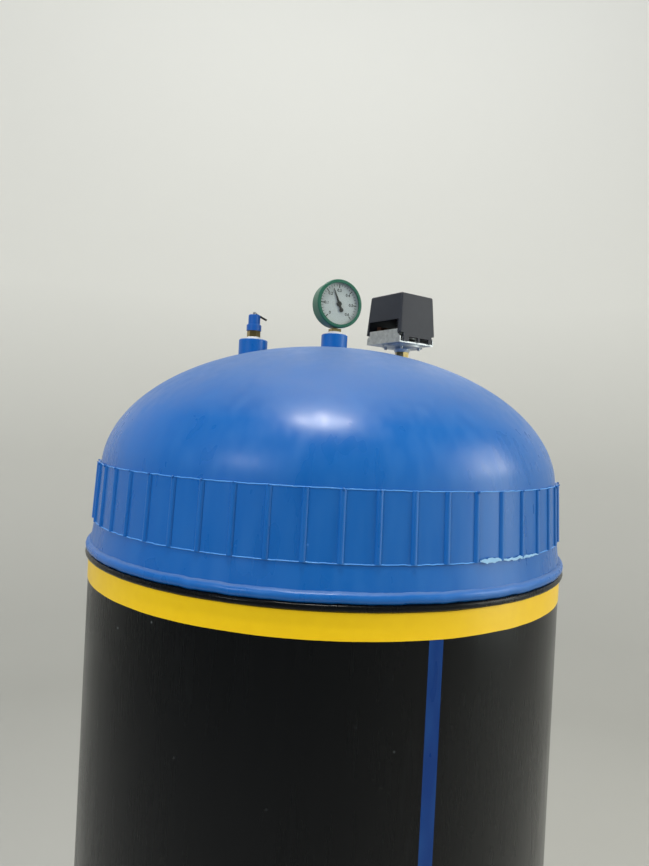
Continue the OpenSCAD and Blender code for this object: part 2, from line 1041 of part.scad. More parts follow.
module switch_cover() {
    notch_w = switch_depth - 2 * notch_side;
    slot_h = 6;
    slot_l = 16;
    color(cover_black)
        at_switch()
            difference() {
                on_plate()
                    cover_form(0, cover_h);
                on_plate()
                    translate([0, 0, -seat_play])
                        cover_form(cover_wall, cover_h - cover_cap);
                on_plate()
                    translate([-switch_width, -notch_w / 2, -spare])
                        cube([2 * switch_width, notch_w, notch_h + spare]);
                for (side = [0, 180])
                    on_plate()
                        rotate([0, 0, side])
                            translate([switch_width / 2 - corner_cut, -switch_depth, -spare])
                                cube([switch_width, 2 * switch_depth, corner_foot + spare]);
                for (x = [-slot_l, slot_l / 4])
                    on_plate()
                        translate([x, -switch_depth, -spare])
                            cube([slot_l, 2 * switch_depth, slot_h + spare]);
                translate([0, 0, plate_head])
                    cylinder(d = stud_d + 4 * thread_play, h = cover_h + spare);
            }
}

module switch_cover_nut() {
    color(zinc)
        at_switch()
            translate([0, 0, cover_head])
                difference() {
                    cylinder(r = hex_r(nut_w), h = nut_h, $fn = 6);
                    translate([0, 0, -spare])
                        cylinder(d = stud_d + 2 * thread_play, h = nut_h + 2 * spare);
                }
}

shell_pipe();
pipe_stripes();
top_cap();
bottom_cap();
yellow_tape();
base_skirt();
base_weld();
inlet_socket();
outlet_socket();
drain_socket();
gauge_socket();
gauge_thread_tape();
gauge_stem();
gauge_case();
gauge_bezel();
gauge_dial();
gauge_glass();
gauge_pointer();
valve_socket();
valve_thread_tape();
valve_body();
valve_bonnet();
valve_stem();
valve_pivot();
valve_lever();
switch_socket();
switch_nipple();
switch_flange();
switch_base();
switch_screws();
switch_plunger_plate();
switch_stud();
switch_spring();
switch_spring_nut();
switch_terminal_block();
switch_cover();
switch_cover_nut();
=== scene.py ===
# %% [markdown]
# Upright water pressure tank
#
# The tank is a length of black plastic pipe with a blue moulded dome welded on each end. A gauge, a safety
# valve and a pressure switch stand on the upper dome.

# %% Frame
import math

import bmesh
import bpy
from mathutils import Matrix, Vector


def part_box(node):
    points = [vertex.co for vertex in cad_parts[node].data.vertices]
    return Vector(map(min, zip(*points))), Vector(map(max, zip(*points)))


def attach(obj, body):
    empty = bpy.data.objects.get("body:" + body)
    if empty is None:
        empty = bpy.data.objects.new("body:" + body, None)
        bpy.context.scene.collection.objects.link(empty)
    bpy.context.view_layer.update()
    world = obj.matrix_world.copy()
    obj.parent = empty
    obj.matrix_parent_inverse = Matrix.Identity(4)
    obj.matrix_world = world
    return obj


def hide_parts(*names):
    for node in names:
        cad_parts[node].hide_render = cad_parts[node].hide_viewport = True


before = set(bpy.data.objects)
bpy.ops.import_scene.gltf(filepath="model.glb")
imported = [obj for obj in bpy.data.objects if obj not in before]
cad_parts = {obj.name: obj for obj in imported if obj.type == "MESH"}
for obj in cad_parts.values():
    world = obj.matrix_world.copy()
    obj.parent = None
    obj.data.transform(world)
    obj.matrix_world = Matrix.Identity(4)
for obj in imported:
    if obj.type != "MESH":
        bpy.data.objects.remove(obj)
scene = bpy.context.scene
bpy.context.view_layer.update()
MM = 0.001

# %% [markdown]
# Camera
#
# The picture was taken from close by, at the height of the dome, with the camera tipped a little to one
# side. A camera could be aimed with a constraint, but a written place, pitch and roll keep the perspective
# of the dome's edge exact. The long side of the picture takes the whole sensor.

# %% Camera
CAMERA_PLACE = Vector((-0.0065, -0.821, 1.4723))
CAMERA_PITCH = math.radians(-0.465)
CAMERA_ROLL = math.radians(2.85)
LENS_MM = 27.01
SENSOR_MM = 36

camera = bpy.data.objects.new("camera", bpy.data.cameras.new("camera"))
camera.data.lens = LENS_MM
camera.data.sensor_width = SENSOR_MM
tilt = Matrix.Rotation(math.radians(90) + CAMERA_PITCH, 4, "X")
roll = Matrix.Rotation(CAMERA_ROLL, 4, "Z")
camera.matrix_world = Matrix.Translation(CAMERA_PLACE) @ tilt @ roll
scene.collection.objects.link(camera)
scene.camera = camera
print("camera at", [round(x, 3) for x in camera.location])

# %% [markdown]
# Helpers for finishes
#
# A shader works in linear light, but a colour is easier to judge as an sRGB hex value, so one function
# turns the second into the first. Another adds a node to any tree, with its settings and links. The scale
# of a pattern is worked out from the real size of its grain, so that it stays true on a piece of any size.


# %% Helpers for finishes
def linear(hex_colour):
    """The linear RGBA of a colour written as #rrggbb."""
    shares = [int(hex_colour[i : i + 2], 16) / 255 for i in (1, 3, 5)]
    return [s / 12.92 if s <= 0.04045 else ((s + 0.055) / 1.055) ** 2.4 for s in shares] + [1.0]


def wire(tree, node, links):
    """Gives a node's inputs, by name or number, a socket, the first live output of a node, or a value."""
    for key, source in links.items():
        if isinstance(source, bpy.types.Node):
            source = next(socket for socket in source.outputs if socket.enabled)
        if isinstance(source, bpy.types.NodeSocket):
            tree.links.new(source, node.inputs[key])
        else:
            node.inputs[key].default_value = source


def add(tree, kind, links=None, **settings):
    """Adds a node with its settings and links."""
    node = tree.nodes.new(kind)
    for name, value in settings.items():
        setattr(node, name, value)
    wire(tree, node, links or {})
    return node


def start_material(name, **values):
    """A new material with the constant values of its shader set."""
    material = bpy.data.materials.new(name)
    material.use_nodes = True
    shader = material.node_tree.nodes["Principled BSDF"]
    wire(material.node_tree, shader, {socket.replace("_", " "): value for socket, value in values.items()})
    return material, material.node_tree, shader


def grain_scale(level_mm, upright_mm):
    """The scale of a noise whose grains are so wide on the level and so long upright."""
    return (1000 / level_mm, 1000 / level_mm, 1000 / upright_mm)


# Nearly all values of a noise lie in this range. A Mix node of colours, as used below, has its share at
# input 0 and its two colours at inputs 6 and 7.
NOISE_RANGE = {"From Min": 0.3, "From Max": 0.7}
print("mid grey in linear light:", round(linear("#808080")[0], 3))

# %% [markdown]
# Helpers for meshes
#
# Every new piece keeps its place in its mesh and sits at the origin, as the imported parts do. One function
# starts a piece, one merges its doubles and turns its faces outwards, one makes its modifiers part of the
# mesh, and one hands it over with its finish. All the new pieces are fixed to the tank's own body.

# %% Helpers for meshes
MERGE_DISTANCE = 0.002 * MM
CRISP_EDGE = 35


def new_piece(name, vertices=(), edges=(), faces=()):
    """A new object at the origin, with its place in its mesh."""
    mesh = bpy.data.meshes.new(name)
    mesh.from_pydata([Vector(v) for v in vertices], edges, faces)
    piece = bpy.data.objects.new(name, mesh)
    scene.collection.objects.link(piece)
    return piece


def clean(mesh):
    """Merges doubles and turns all faces outwards."""
    work = bmesh.new()
    work.from_mesh(mesh)
    bmesh.ops.remove_doubles(work, verts=work.verts, dist=MERGE_DISTANCE)
    bmesh.ops.recalc_face_normals(work, faces=work.faces)
    work.to_mesh(mesh)
    work.free()


def evaluated_mesh(holder):
    """The plain mesh that an object's modifiers or letters give."""
    bpy.context.view_layer.update()
    return bpy.data.meshes.new_from_object(holder.evaluated_get(bpy.context.evaluated_depsgraph_get()))


def settle(piece, sharp=CRISP_EDGE):
    """Makes a piece's modifiers part of a smooth mesh, with edges over sharp degrees kept crisp."""
    mesh = evaluated_mesh(piece)
    piece.modifiers.clear()
    piece.data = mesh
    mesh.shade_smooth()
    mesh.set_sharp_from_angle(angle=math.radians(sharp))


def finish_piece(piece, slot, material, *stands_for):
    """Gives a settled piece its finish, fixes it to the tank's body, and hides the imported parts that it
    stands for.
    """
    piece.data.materials.clear()
    piece.data.materials.append(material)
    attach(piece, "tank")
    if stands_for:
        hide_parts(*stands_for)
    print(piece.name, "faces:", len(piece.data.polygons))


def middle_of(node):
    """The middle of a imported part's box."""
    low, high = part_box(node)
    return (low + high) / 2


print("edges kept crisp over degrees:", CRISP_EDGE)

# %% [markdown]
# Floor
#
# The tank stands in a pale room. A flat floor would show its far edge, so the floor is a disc that curves
# up into a round wall, wide enough for a camera to go all the way round inside it. The paint greys low
# down, a painted shade for light that falls from above, and one side behind the camera is painted a
# darker grey, a painted shade that the glossy pipe and caps mirror.

# %% Floor
ROOM_RADIUS = 4.2
ROOM_CURVE = 1.2
ROOM_HEIGHT = 5.6
ROOM_STEPS = 96
CURVE_STEP = 6
PAINTED_SHADE_SIDE = (-0.5, -0.87, 0)


def room_section():
    """The half section of the room: floor, curve and wall."""
    turn = [math.radians(a) for a in range(0, 91, CURVE_STEP)]
    foot = ROOM_RADIUS - ROOM_CURVE
    curve = [(foot + ROOM_CURVE * math.sin(a), ROOM_CURVE * (1 - math.cos(a))) for a in turn]
    return [(0, 0), *curve, (ROOM_RADIUS, ROOM_HEIGHT)]


def revolved(name, section, steps):
    """Turns a half section, a list of (radius, height), once round the Z axis."""
    points = [(r, 0, h) for r, h in section]
    piece = new_piece(name, points, [(i, i + 1) for i in range(len(points) - 1)])
    screw = piece.modifiers.new("turn", "SCREW")
    screw.steps = screw.render_steps = steps
    screw.use_merge_vertices = True
    screw.merge_threshold = MERGE_DISTANCE
    settle(piece)
    clean(piece.data)
    return piece


def wall_paint():
    """Matt pale paint, with painted shade that greys it low down and on the side behind the camera."""
    paint, tree, shader = start_material("matt_wall_paint", Roughness=0.9)
    place = add(tree, "ShaderNodeTexCoord").outputs["Object"]
    height = add(tree, "ShaderNodeSeparateXYZ", {"Vector": place}).outputs["Z"]
    # Painted shade: the wall greys towards the floor, standing in for light that falls from above.
    rise = add(tree, "ShaderNodeMapRange", {"Value": height, "From Min": 0.2, "From Max": 2.4})
    # Painted shade: the side behind the camera is painted a darker grey, which the glossy pipe and caps
    # mirror.
    towards = add(tree, "ShaderNodeVectorMath", {0: place, 1: PAINTED_SHADE_SIDE}, operation="DOT_PRODUCT")
    side = add(tree, "ShaderNodeMapRange", {"Value": towards, "From Min": 1.0, "From Max": 3.6})
    painted_shade_greys = {6: linear("#b4b4af"), 7: linear("#e4e4df")}
    pale = add(tree, "ShaderNodeMix", {0: rise, **painted_shade_greys}, data_type="RGBA")
    both = add(tree, "ShaderNodeMix", {0: side, 6: pale, 7: linear("#787977")}, data_type="RGBA")
    wire(tree, shader, {"Base Color": both})
    return paint


room = revolved("room", room_section(), ROOM_STEPS)
room.data.materials.append(wall_paint())
print("room radius in m:", ROOM_RADIUS)

# %% [markdown]
# Light
#
# The light comes from a lamp on the ceiling and from both sides. Every lamp could be one large soft panel,
# but the satin dome mirrors what lights it, so small lamps make the highlights that it shows, and large
# ones that leave no reflection fill the shade beside them. A pale sky lights the room from its open top.

# %% Light
SKY_STRENGTH = 0.3
COOL = "#f4f8ff"
WARM = "#fffaf2"
NEUTRAL = "#ffffff"

scene.view_settings.view_transform = "Standard"
scene.world = bpy.data.worlds.new("pale_sky")
scene.world.use_nodes = True
sky = scene.world.node_tree.nodes["Background"]
sky.inputs["Color"].default_value = linear("#e6ebee")
sky.inputs["Strength"].default_value = SKY_STRENGTH


def soft_lamp(name, place, target, size, watts, colour, mirrored=True):
    """An area lamp at a place, turned to a target. One that isn't mirrored lights without a reflection."""
    lamp = bpy.data.lights.new(name, "AREA")
    lamp.shape = "RECTANGLE"
    lamp.size, lamp.size_y = size
    lamp.energy = watts
    lamp.color = linear(colour)[:3]
    holder = bpy.data.objects.new(name, lamp)
    holder.location = place
    holder.rotation_euler = (Vector(target) - Vector(place)).to_track_quat("-Z", "Y").to_euler()
    holder.visible_glossy = mirrored
    holder.visible_camera = False
    scene.collection.objects.link(holder)


dome_middle = (0, 0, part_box("top_cap")[0].z)
soft_lamp("ceiling_lamp", (-0.12, -0.75, 3.6), dome_middle, (0.62, 0.16), 30, "#fff8ee")
soft_lamp("left_lamp", (-2.1, -2.5, 2.9), dome_middle, (0.6, 0.2), 9, COOL)
soft_lamp("left_fill", (-2.2, -2.5, 2.9), dome_middle, (3.0, 3.0), 96, COOL, mirrored=False)
soft_lamp("right_lamp", (3.4, -0.35, 2.95), dome_middle, (1.5, 1.3), 24, WARM)
soft_lamp("right_panel", (3.3, -0.6, 1.6), dome_middle, (1.6, 2.4), 22, "#f2fffa")
soft_lamp("right_fill", (3.2, -0.9, 2.7), dome_middle, (2.4, 2.4), 58, WARM, mirrored=False)
soft_lamp("back_lamp", (0.5, 3.0, 3.0), dome_middle, (1.6, 1.6), 10, NEUTRAL)
soft_lamp("wall_lamp", (0, 1.6, 5.4), (0, 4.2, 3.0), (3.0, 0.6), 46, NEUTRAL)

# %% [markdown]
# Black polyethylene, extruded
#
# The shell is pressure pipe. The die leaves fine straight lines along it, handling leaves pale scuffs, and
# the skin is satin. An image would need a map of the wall, but a stretched noise follows any upright wall,
# so it gives the lines. A threshold of finer noise gives the scuffs, and small cells give the specks of
# dust.

# %% Black polyethylene
POLYETHYLENE_IOR = 1.51
# Real die lines are under a millimetre wide. They are drawn this coarse so that they show.
DIE_LINE_MM = 5
DIE_LINE_LENGTH_MM = 600
SCUFF_MM = 6.67
SCUFF_LENGTH_MM = 100
SCUFF_LEAN = (0.15, 0.1, 0)
SPECK_SPACING_MM = 27
PATCH_MM = 143


def black_pipe_finish():
    """Satin black skin: dark with soft streaks of shine, pale scuffs and a few specks."""
    material, tree, shader = start_material(
        "extruded_black_polyethylene", IOR=POLYETHYLENE_IOR, Specular_IOR_Level=0.22
    )
    place = add(tree, "ShaderNodeTexCoord").outputs["Object"]
    line_scale = grain_scale(DIE_LINE_MM, DIE_LINE_LENGTH_MM)
    along = add(tree, "ShaderNodeMapping", {"Vector": place, "Scale": line_scale})
    lines = add(tree, "ShaderNodeTexNoise", {"Vector": along, "Scale": 1, "Detail": 3})
    scuff_scale = grain_scale(SCUFF_MM, SCUFF_LENGTH_MM)
    turned = add(tree, "ShaderNodeMapping", {"Vector": place, "Scale": scuff_scale, "Rotation": SCUFF_LEAN})
    scuffs = add(tree, "ShaderNodeTexNoise", {"Vector": turned, "Scale": 1, "Detail": 6, "Roughness": 0.7})
    patches = add(tree, "ShaderNodeTexNoise", {"Vector": place, "Scale": 1000 / PATCH_MM, "Detail": 3})
    worn = add(tree, "ShaderNodeMath", {0: scuffs, 1: patches}, operation="MULTIPLY")
    marks = add(tree, "ShaderNodeMapRange", {"Value": worn, "From Min": 0.36, "From Max": 0.48})
    dots = add(tree, "ShaderNodeTexVoronoi", {"Vector": place, "Scale": 1000 / SPECK_SPACING_MM})
    specks = add(tree, "ShaderNodeMapRange", {"Value": dots, "From Min": 0.06, "From Max": 0.02})
    sparse = add(tree, "ShaderNodeMapRange", {"Value": patches, "From Min": 0.5, "From Max": 0.62})
    few = add(tree, "ShaderNodeMath", {0: specks, 1: sparse}, operation="MULTIPLY")
    blacks = {6: linear("#040506"), 7: linear("#080a0c")}
    shade = add(tree, "ShaderNodeMix", {0: lines, **blacks}, data_type="RGBA")
    scuffed = add(tree, "ShaderNodeMix", {0: marks, 6: shade, 7: linear("#131618")}, data_type="RGBA")
    dusty = add(tree, "ShaderNodeMix", {0: few, 6: scuffed, 7: linear("#6d7273")}, data_type="RGBA")
    shine = {"From Min": 0.15, "From Max": 0.5, "To Min": 0.2, "To Max": 0.38}
    rough = add(tree, "ShaderNodeMapRange", {"Value": worn, **shine})
    bump = add(tree, "ShaderNodeBump", {"Height": lines, "Strength": 0.25, "Distance": 0.15 * MM})
    wire(tree, shader, {"Base Color": dusty, "Roughness": rough, "Normal": bump})
    return material


black_polyethylene = black_pipe_finish()
print("finish:", black_polyethylene.name)

# %% [markdown]
# Blue polyethylene, moulded
#
# The caps are moulded in a bright blue. The colour clouds a little where the melt cooled unevenly, upright
# streaks of wear dull the shine, and small pale nicks show. Faces that look up, such as the upper side of
# the dome, take a grey veil that is partly a dusty film and partly a painted reflection of the pale room. A
# painted mask could place the veil, but the upward share of the surface's normal lays it on any face that
# looks up.

# %% Blue polyethylene
CLOUD_MM = 70
STREAK_MM = 12
STREAK_LENGTH_MM = 60
NICK_SPACING_MM = 54
NICK_PATCH_MM = 111
DUST_GRAIN_MM = 33.3


def blue_cap_finish(name, deep, bright, dust_and_reflection_share, shine):
    """Satin blue skin: bright, softly streaked and nicked, with a grey veil on faces that look up, which is
    partly a dusty film and partly painted reflection.
    """
    material, tree, shader = start_material(name, IOR=POLYETHYLENE_IOR, Specular_IOR_Level=shine)
    place = add(tree, "ShaderNodeTexCoord").outputs["Object"]
    clouds = add(tree, "ShaderNodeTexNoise", {"Vector": place, "Scale": 1000 / CLOUD_MM, "Detail": 4})
    shade = add(tree, "ShaderNodeMix", {0: clouds, 6: linear(deep), 7: linear(bright)}, data_type="RGBA")
    streak_scale = grain_scale(STREAK_MM, STREAK_LENGTH_MM)
    upright = add(tree, "ShaderNodeMapping", {"Vector": place, "Scale": streak_scale})
    streaks = add(tree, "ShaderNodeTexNoise", {"Vector": upright, "Scale": 1, "Detail": 1})
    wear = {"From Min": 0.35, "From Max": 0.8, "To Max": 0.12}
    rubbed = add(tree, "ShaderNodeMapRange", {"Value": streaks, **wear})
    streaked = add(tree, "ShaderNodeMix", {0: rubbed, 6: shade, 7: linear("#3d7fbe")}, data_type="RGBA")
    cells = add(tree, "ShaderNodeTexVoronoi", {"Vector": place, "Scale": 1000 / NICK_SPACING_MM})
    near = add(tree, "ShaderNodeMapRange", {"Value": cells, "From Min": 0.03, "From Max": 0.01})
    patches = add(tree, "ShaderNodeTexNoise", {"Vector": place, "Scale": 1000 / NICK_PATCH_MM, "Detail": 2})
    sparse = add(tree, "ShaderNodeMapRange", {"Value": patches, "From Min": 0.52, "From Max": 0.6})
    nicks = add(tree, "ShaderNodeMath", {0: near, 1: sparse}, operation="MULTIPLY")
    nicked = add(tree, "ShaderNodeMix", {0: nicks, 6: streaked, 7: linear("#4f86cc")}, data_type="RGBA")
    # Painted reflection: faces that look up are greyed, partly for a dusty film and partly for the pale
    # room's sheen.
    normal = add(tree, "ShaderNodeNewGeometry").outputs["Normal"]
    upward = add(tree, "ShaderNodeSeparateXYZ", {"Vector": normal}).outputs["Z"]
    level = {"From Min": 0.6, "From Max": 1.0, "To Max": dust_and_reflection_share}
    upward_dust_and_reflection = add(tree, "ShaderNodeMapRange", {"Value": upward, **level})
    fine = {"Scale": 1000 / DUST_GRAIN_MM, "Detail": 8, "Roughness": 0.7}
    grains = add(tree, "ShaderNodeTexNoise", {"Vector": place, **fine})
    spread = add(tree, "ShaderNodeMapRange", {"Value": grains, **NOISE_RANGE, "To Min": 0.55})
    dust_and_reflection = add(tree, "ShaderNodeMath", {0: upward_dust_and_reflection, 1: spread}, operation="MULTIPLY")
    with_dust_and_reflection = add(tree, "ShaderNodeMix", {0: dust_and_reflection, 6: nicked, 7: linear("#8b9192")}, data_type="RGBA")
    rough = add(tree, "ShaderNodeMapRange", {"Value": clouds, **NOISE_RANGE, "To Min": 0.23, "To Max": 0.31})
    dulled = add(tree, "ShaderNodeMath", {0: rubbed, 1: rough}, operation="ADD")
    veiled = add(tree, "ShaderNodeMath", {0: dulled, 1: dust_and_reflection}, operation="ADD", use_clamp=True)
    wire(tree, shader, {"Base Color": with_dust_and_reflection, "Roughness": veiled})
    return material


# A moulded skin shines, a turned one is duller, and a stripe in the pipe is darker, with a weak shine.
blue_moulding = blue_cap_finish("moulded_blue_polyethylene", "#0a57a1", "#0d5fab", 0.37, 0.5)
blue_socket = blue_cap_finish("turned_blue_polyethylene", "#0b56a0", "#0d5ca8", 0.1, 0.35)
blue_stripe = blue_cap_finish("co_extruded_blue_polyethylene", "#072d6a", "#0a3576", 0.0, 0.2)
print("finishes:", blue_moulding.name, blue_socket.name, blue_stripe.name)

# %% [markdown]
# Metals
#
# The fittings are turned brass, zinc-plated pressed steel and blackened steel. A plain metal shader would
# make them look new, so one recipe adds a cloudy tarnish and fine tool marks. Only the colours, the
# roughness and the size of the marks differ.

# %% Metals
TARNISH_MM = 7.14


def metal_finish(name, colour, tarnish, smooth, rough, mark_mm, mark_length_mm):
    """A metal with a cloudy tarnish and tool marks that run on the level."""
    material, tree, shader = start_material(name, Metallic=1.0)
    place = add(tree, "ShaderNodeTexCoord").outputs["Object"]
    cloudy = {"Scale": 1000 / TARNISH_MM, "Detail": 5, "Roughness": 0.65}
    clouds = add(tree, "ShaderNodeTexNoise", {"Vector": place, **cloudy})
    stained = add(tree, "ShaderNodeMapRange", {"Value": clouds, "From Min": 0.35, "From Max": 0.75})
    shade = add(tree, "ShaderNodeMix", {0: stained, 6: linear(colour), 7: linear(tarnish)}, data_type="RGBA")
    mark_scale = grain_scale(mark_length_mm, mark_mm)
    along = add(tree, "ShaderNodeMapping", {"Vector": place, "Scale": mark_scale})
    marks = add(tree, "ShaderNodeTexNoise", {"Vector": along, "Scale": 1, "Detail": 2})
    dull = add(tree, "ShaderNodeMapRange", {"Value": clouds, "To Min": smooth, "To Max": rough})
    bump = add(tree, "ShaderNodeBump", {"Height": marks, "Strength": 0.3, "Distance": 0.05 * MM})
    wire(tree, shader, {"Base Color": shade, "Roughness": dull, "Normal": bump})
    return material


# Rings from the lathe tool catch the light. Real ones are finer, and are drawn this coarse to show.
turned_brass = metal_finish("turned_brass", "#b3a070", "#83724a", 0.25, 0.5, 0.4, 3.2)
# Zinc plate on pressed steel is pale and cloudy, without a direction.
zinc_plate = metal_finish("zinc_plated_steel", "#dadee0", "#b4b8bb", 0.4, 0.6, 1.2, 1.2)
# Blackened steel is dark and dull, with a trace of the drawing die.
black_steel = metal_finish("blackened_steel", "#4a4a4c", "#2b2a2a", 0.35, 0.6, 0.8, 2.4)
print("metals:", turned_brass.name, zinc_plate.name, black_steel.name)

# %% [markdown]
# Paint, film and mouldings
#
# The gauge's case is stoved green enamel, the bonnet is blue enamel, the switch's cover is a grained black
# moulding, the terminals sit in brown phenolic, and the tapes are plastic film. Each could have a tree of
# its own, but all are a base colour with a slight mottle and a grain, so one recipe with a grain size
# serves them all.

# %% Paint and film
COAT_IOR = 1.5
MOTTLE_MM = 11.1


def coated_finish(name, colour, mottle, roughness, grain_mm, grain_depth_mm, **values):
    """A coat or moulding with a slight mottle and a fine grain."""
    material, tree, shader = start_material(name, IOR=COAT_IOR, Roughness=roughness, **values)
    place = add(tree, "ShaderNodeTexCoord").outputs["Object"]
    clouds = add(tree, "ShaderNodeTexNoise", {"Vector": place, "Scale": 1000 / MOTTLE_MM, "Detail": 5})
    shade = add(tree, "ShaderNodeMix", {0: clouds, 6: linear(colour), 7: linear(mottle)}, data_type="RGBA")
    grain = add(tree, "ShaderNodeTexNoise", {"Vector": place, "Scale": 1000 / grain_mm, "Detail": 3})
    bump = add(tree, "ShaderNodeBump", {"Height": grain, "Strength": 0.4, "Distance": grain_depth_mm * MM})
    wire(tree, shader, {"Base Color": shade, "Normal": bump})
    return material


# Stoved and sprayed enamels have a hard shine over a faint orange peel.
green_enamel = coated_finish("stoved_green_enamel", "#1d5442", "#245f4c", 0.3, 2.5, 0.05)
blue_enamel = coated_finish("blue_enamel", "#0d4f9c", "#1259a6", 0.32, 2, 0.04)
# A printed dial is flat white with dull black marks.
dial_paint = coated_finish("white_dial_paint", "#d9dade", "#cfd0d6", 0.5, 1, 0.02)
dial_ink = coated_finish("black_dial_ink", "#191a1c", "#222326", 0.55, 1, 0.02)
# An eroded mould leaves a matt grain of about 0.3 mm, which is drawn coarser so that it shows.
cover_moulding = coated_finish(
    "grained_black_moulding", "#272a30", "#2e3138", 0.5, 0.9, 0.12, Specular_IOR_Level=0.3
)
# Pressed phenolic is brown, with a slight shine.
phenolic = coated_finish("brown_phenolic", "#3a2419", "#452c1f", 0.4, 2, 0.05)
# Adhesive film is satin and lies in faint waves, and thread tape is soft and dull.
yellow_film = coated_finish("yellow_adhesive_film", "#f2c90c", "#e9bd08", 0.34, 14, 0.12)
thread_film = coated_finish("white_thread_film", "#eceae4", "#dcdad2", 0.6, 0.7, 0.1)
# Blue plastic turns paler where a knife has trimmed it, and whitish where it is torn.
trimmed_edge = coated_finish("trimmed_blue_polyethylene", "#2672c8", "#6aabe4", 0.4, 1.5, 0.1)
torn_edge = coated_finish("whitened_blue_polyethylene", "#7db2dc", "#a6cdea", 0.5, 1.5, 0.1)
print("coats:", green_enamel.name, cover_moulding.name, yellow_film.name)

# %% [markdown]
# Gauge glass
#
# The pane over the dial is thin clear float glass. A full glass shader would bend the light and darken the
# dial behind so thin a pane, so this one is clear, with a share of mirror that grows as it is seen more
# edge-on.


# %% Gauge glass
def clear_glass():
    """A clear pane that shows the dial and keeps a weak reflection."""
    material, tree, shader = start_material(
        "clear_float_glass", Base_Color=linear("#ffffff"), Metallic=1.0, Roughness=0.04, IOR=1.52
    )
    clear = add(tree, "ShaderNodeBsdfTransparent", {"Color": linear("#f4f7f5")})
    facing = add(tree, "ShaderNodeLayerWeight", {"Blend": 0.5}).outputs["Facing"]
    weak = {"From Min": 0.4, "To Min": 0.03, "To Max": 0.5}
    shine = add(tree, "ShaderNodeMapRange", {"Value": facing, **weak})
    both = add(tree, "ShaderNodeMixShader", {0: shine, 1: clear, 2: shader})
    wire(tree, tree.nodes["Material Output"], {"Surface": both})
    return material


pane = clear_glass()
print("finish:", pane.name)

# %% [markdown]
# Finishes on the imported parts
#
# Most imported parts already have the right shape, so they only take a finish. The table names the finish of
# each of them. The parts that aren't in it are replaced by a richer mesh in the cells after it.

# %% Finishes on parts
FINISHES = {
    black_polyethylene: ["shell_pipe", "base_skirt", "base_weld"],
    blue_stripe: ["pipe_stripes"],
    blue_socket: [
        "inlet_socket", "outlet_socket", "drain_socket", "gauge_socket", "valve_socket", "switch_socket",
    ],
    turned_brass: ["gauge_stem", "valve_body", "switch_nipple", "switch_spring_nut"],
    green_enamel: ["gauge_case", "gauge_bezel"],
    dial_paint: ["gauge_dial"],
    pane: ["gauge_glass"],
    dial_ink: ["gauge_pointer"],
    blue_enamel: ["valve_bonnet"],
    zinc_plate: [
        "valve_stem", "valve_pivot", "switch_flange", "switch_base", "switch_screws", "switch_plunger_plate",
        "switch_stud", "switch_cover_nut",
    ],
    black_steel: ["valve_lever"],
    phenolic: ["switch_terminal_block"],
}
for finish, names in FINISHES.items():
    for name in names:
        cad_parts[name].material_slots[0].material = finish
print("parts finished:", sum(len(names) for names in FINISHES.values()))

# %% [markdown]
# Trees of geometry nodes
#
# Ribs, beads, tapes, threads and dial marks are the same few forms with other sizes. Each could be drawn by
# hand for every place, but a tree with named inputs makes all of them from one recipe, and a new size is
# one number. A tree ends with its instances made real and its material set, and the piece keeps only the
# plain mesh.

# %% Trees of geometry nodes
SHARED_INPUTS = {"Place": "Vector", "Turn": "Rotation", "Material": "Material"}


def new_tree(name, *sizes, **others):
    """A geometry tree and its input sockets: a float for each size, and others of the kind given."""
    tree = bpy.data.node_groups.new(name, "GeometryNodeTree")
    tree.interface.new_socket("Geometry", in_out="OUTPUT", socket_type="NodeSocketGeometry")
    for label, kind in {**dict.fromkeys(sizes, "Float"), **others, **SHARED_INPUTS}.items():
        tree.interface.new_socket(label.replace("_", " "), in_out="INPUT", socket_type="NodeSocket" + kind)
    return tree, add(tree, "NodeGroupInput").outputs


def close_tree(tree, given, shape):
    """Ends a tree: the shape is turned, put in its place, made real and given its material."""
    stance = {"Translation": given["Place"], "Rotation": given["Turn"]}
    placed = add(tree, "GeometryNodeTransform", {"Geometry": shape, **stance})
    real = add(tree, "GeometryNodeRealizeInstances", {"Geometry": placed})
    dressed = add(tree, "GeometryNodeSetMaterial", {"Geometry": real, "Material": given["Material"]})
    add(tree, "NodeGroupOutput", {0: dressed})
    print("tree:", tree.name, "nodes:", len(tree.nodes))
    return tree


def grow(name, tree, slot, material, *stands_for, sharp=CRISP_EDGE, **sizes):
    """A finished piece grown by a tree, with the tree's inputs set by name."""
    piece = new_piece(name)
    modifier = piece.modifiers.new(tree.name, "NODES")
    modifier.node_group = tree
    values = {"Place": (0, 0, 0), "Turn": (0, 0, 0), "Material": material, **sizes}
    for item in tree.interface.items_tree:
        if item.in_out == "INPUT":
            modifier[item.identifier] = values[item.name.replace(" ", "_")]
    settle(piece, sharp)
    clean(piece.data)
    finish_piece(piece, slot, material, *stands_for)


print("inputs that every tree has:", *SHARED_INPUTS)

# %% [markdown]
# Cap shells
#
# A cap is a dome, a ribbed band and a skirt, moulded in one. It could be a scaled sphere with rings added,
# but turning its half section is the simplest way to a true dome with its band and its wall. Round plugs
# then cut the holes that the sockets are welded into.

# %% Cap section
pipe_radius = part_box("base_skirt")[1].x
PIPE_WALL = 21.4 * MM
CAP_WALL = 20 * MM
RIM_RADIUS = 271.5 * MM
EQUATOR = 89 * MM
DOME_RISE = 156.6 * MM
BAND_FOOT = 33 * MM
BAND_HEAD = 96 * MM
BAND_FOOT_RADIUS = 276.3 * MM
BAND_HEAD_RADIUS = 273 * MM
SKIRT_RADIUS = 275.5 * MM
DOME_STEPS = 44


def dome_arc(rim, rise, start, end):
    """Points of a dome's half section between two angles over its equator."""
    angles = [start + (end - start) * i / DOME_STEPS for i in range(DOME_STEPS + 1)]
    return [(rim * math.cos(a), EQUATOR + rise * math.sin(a)) for a in angles]


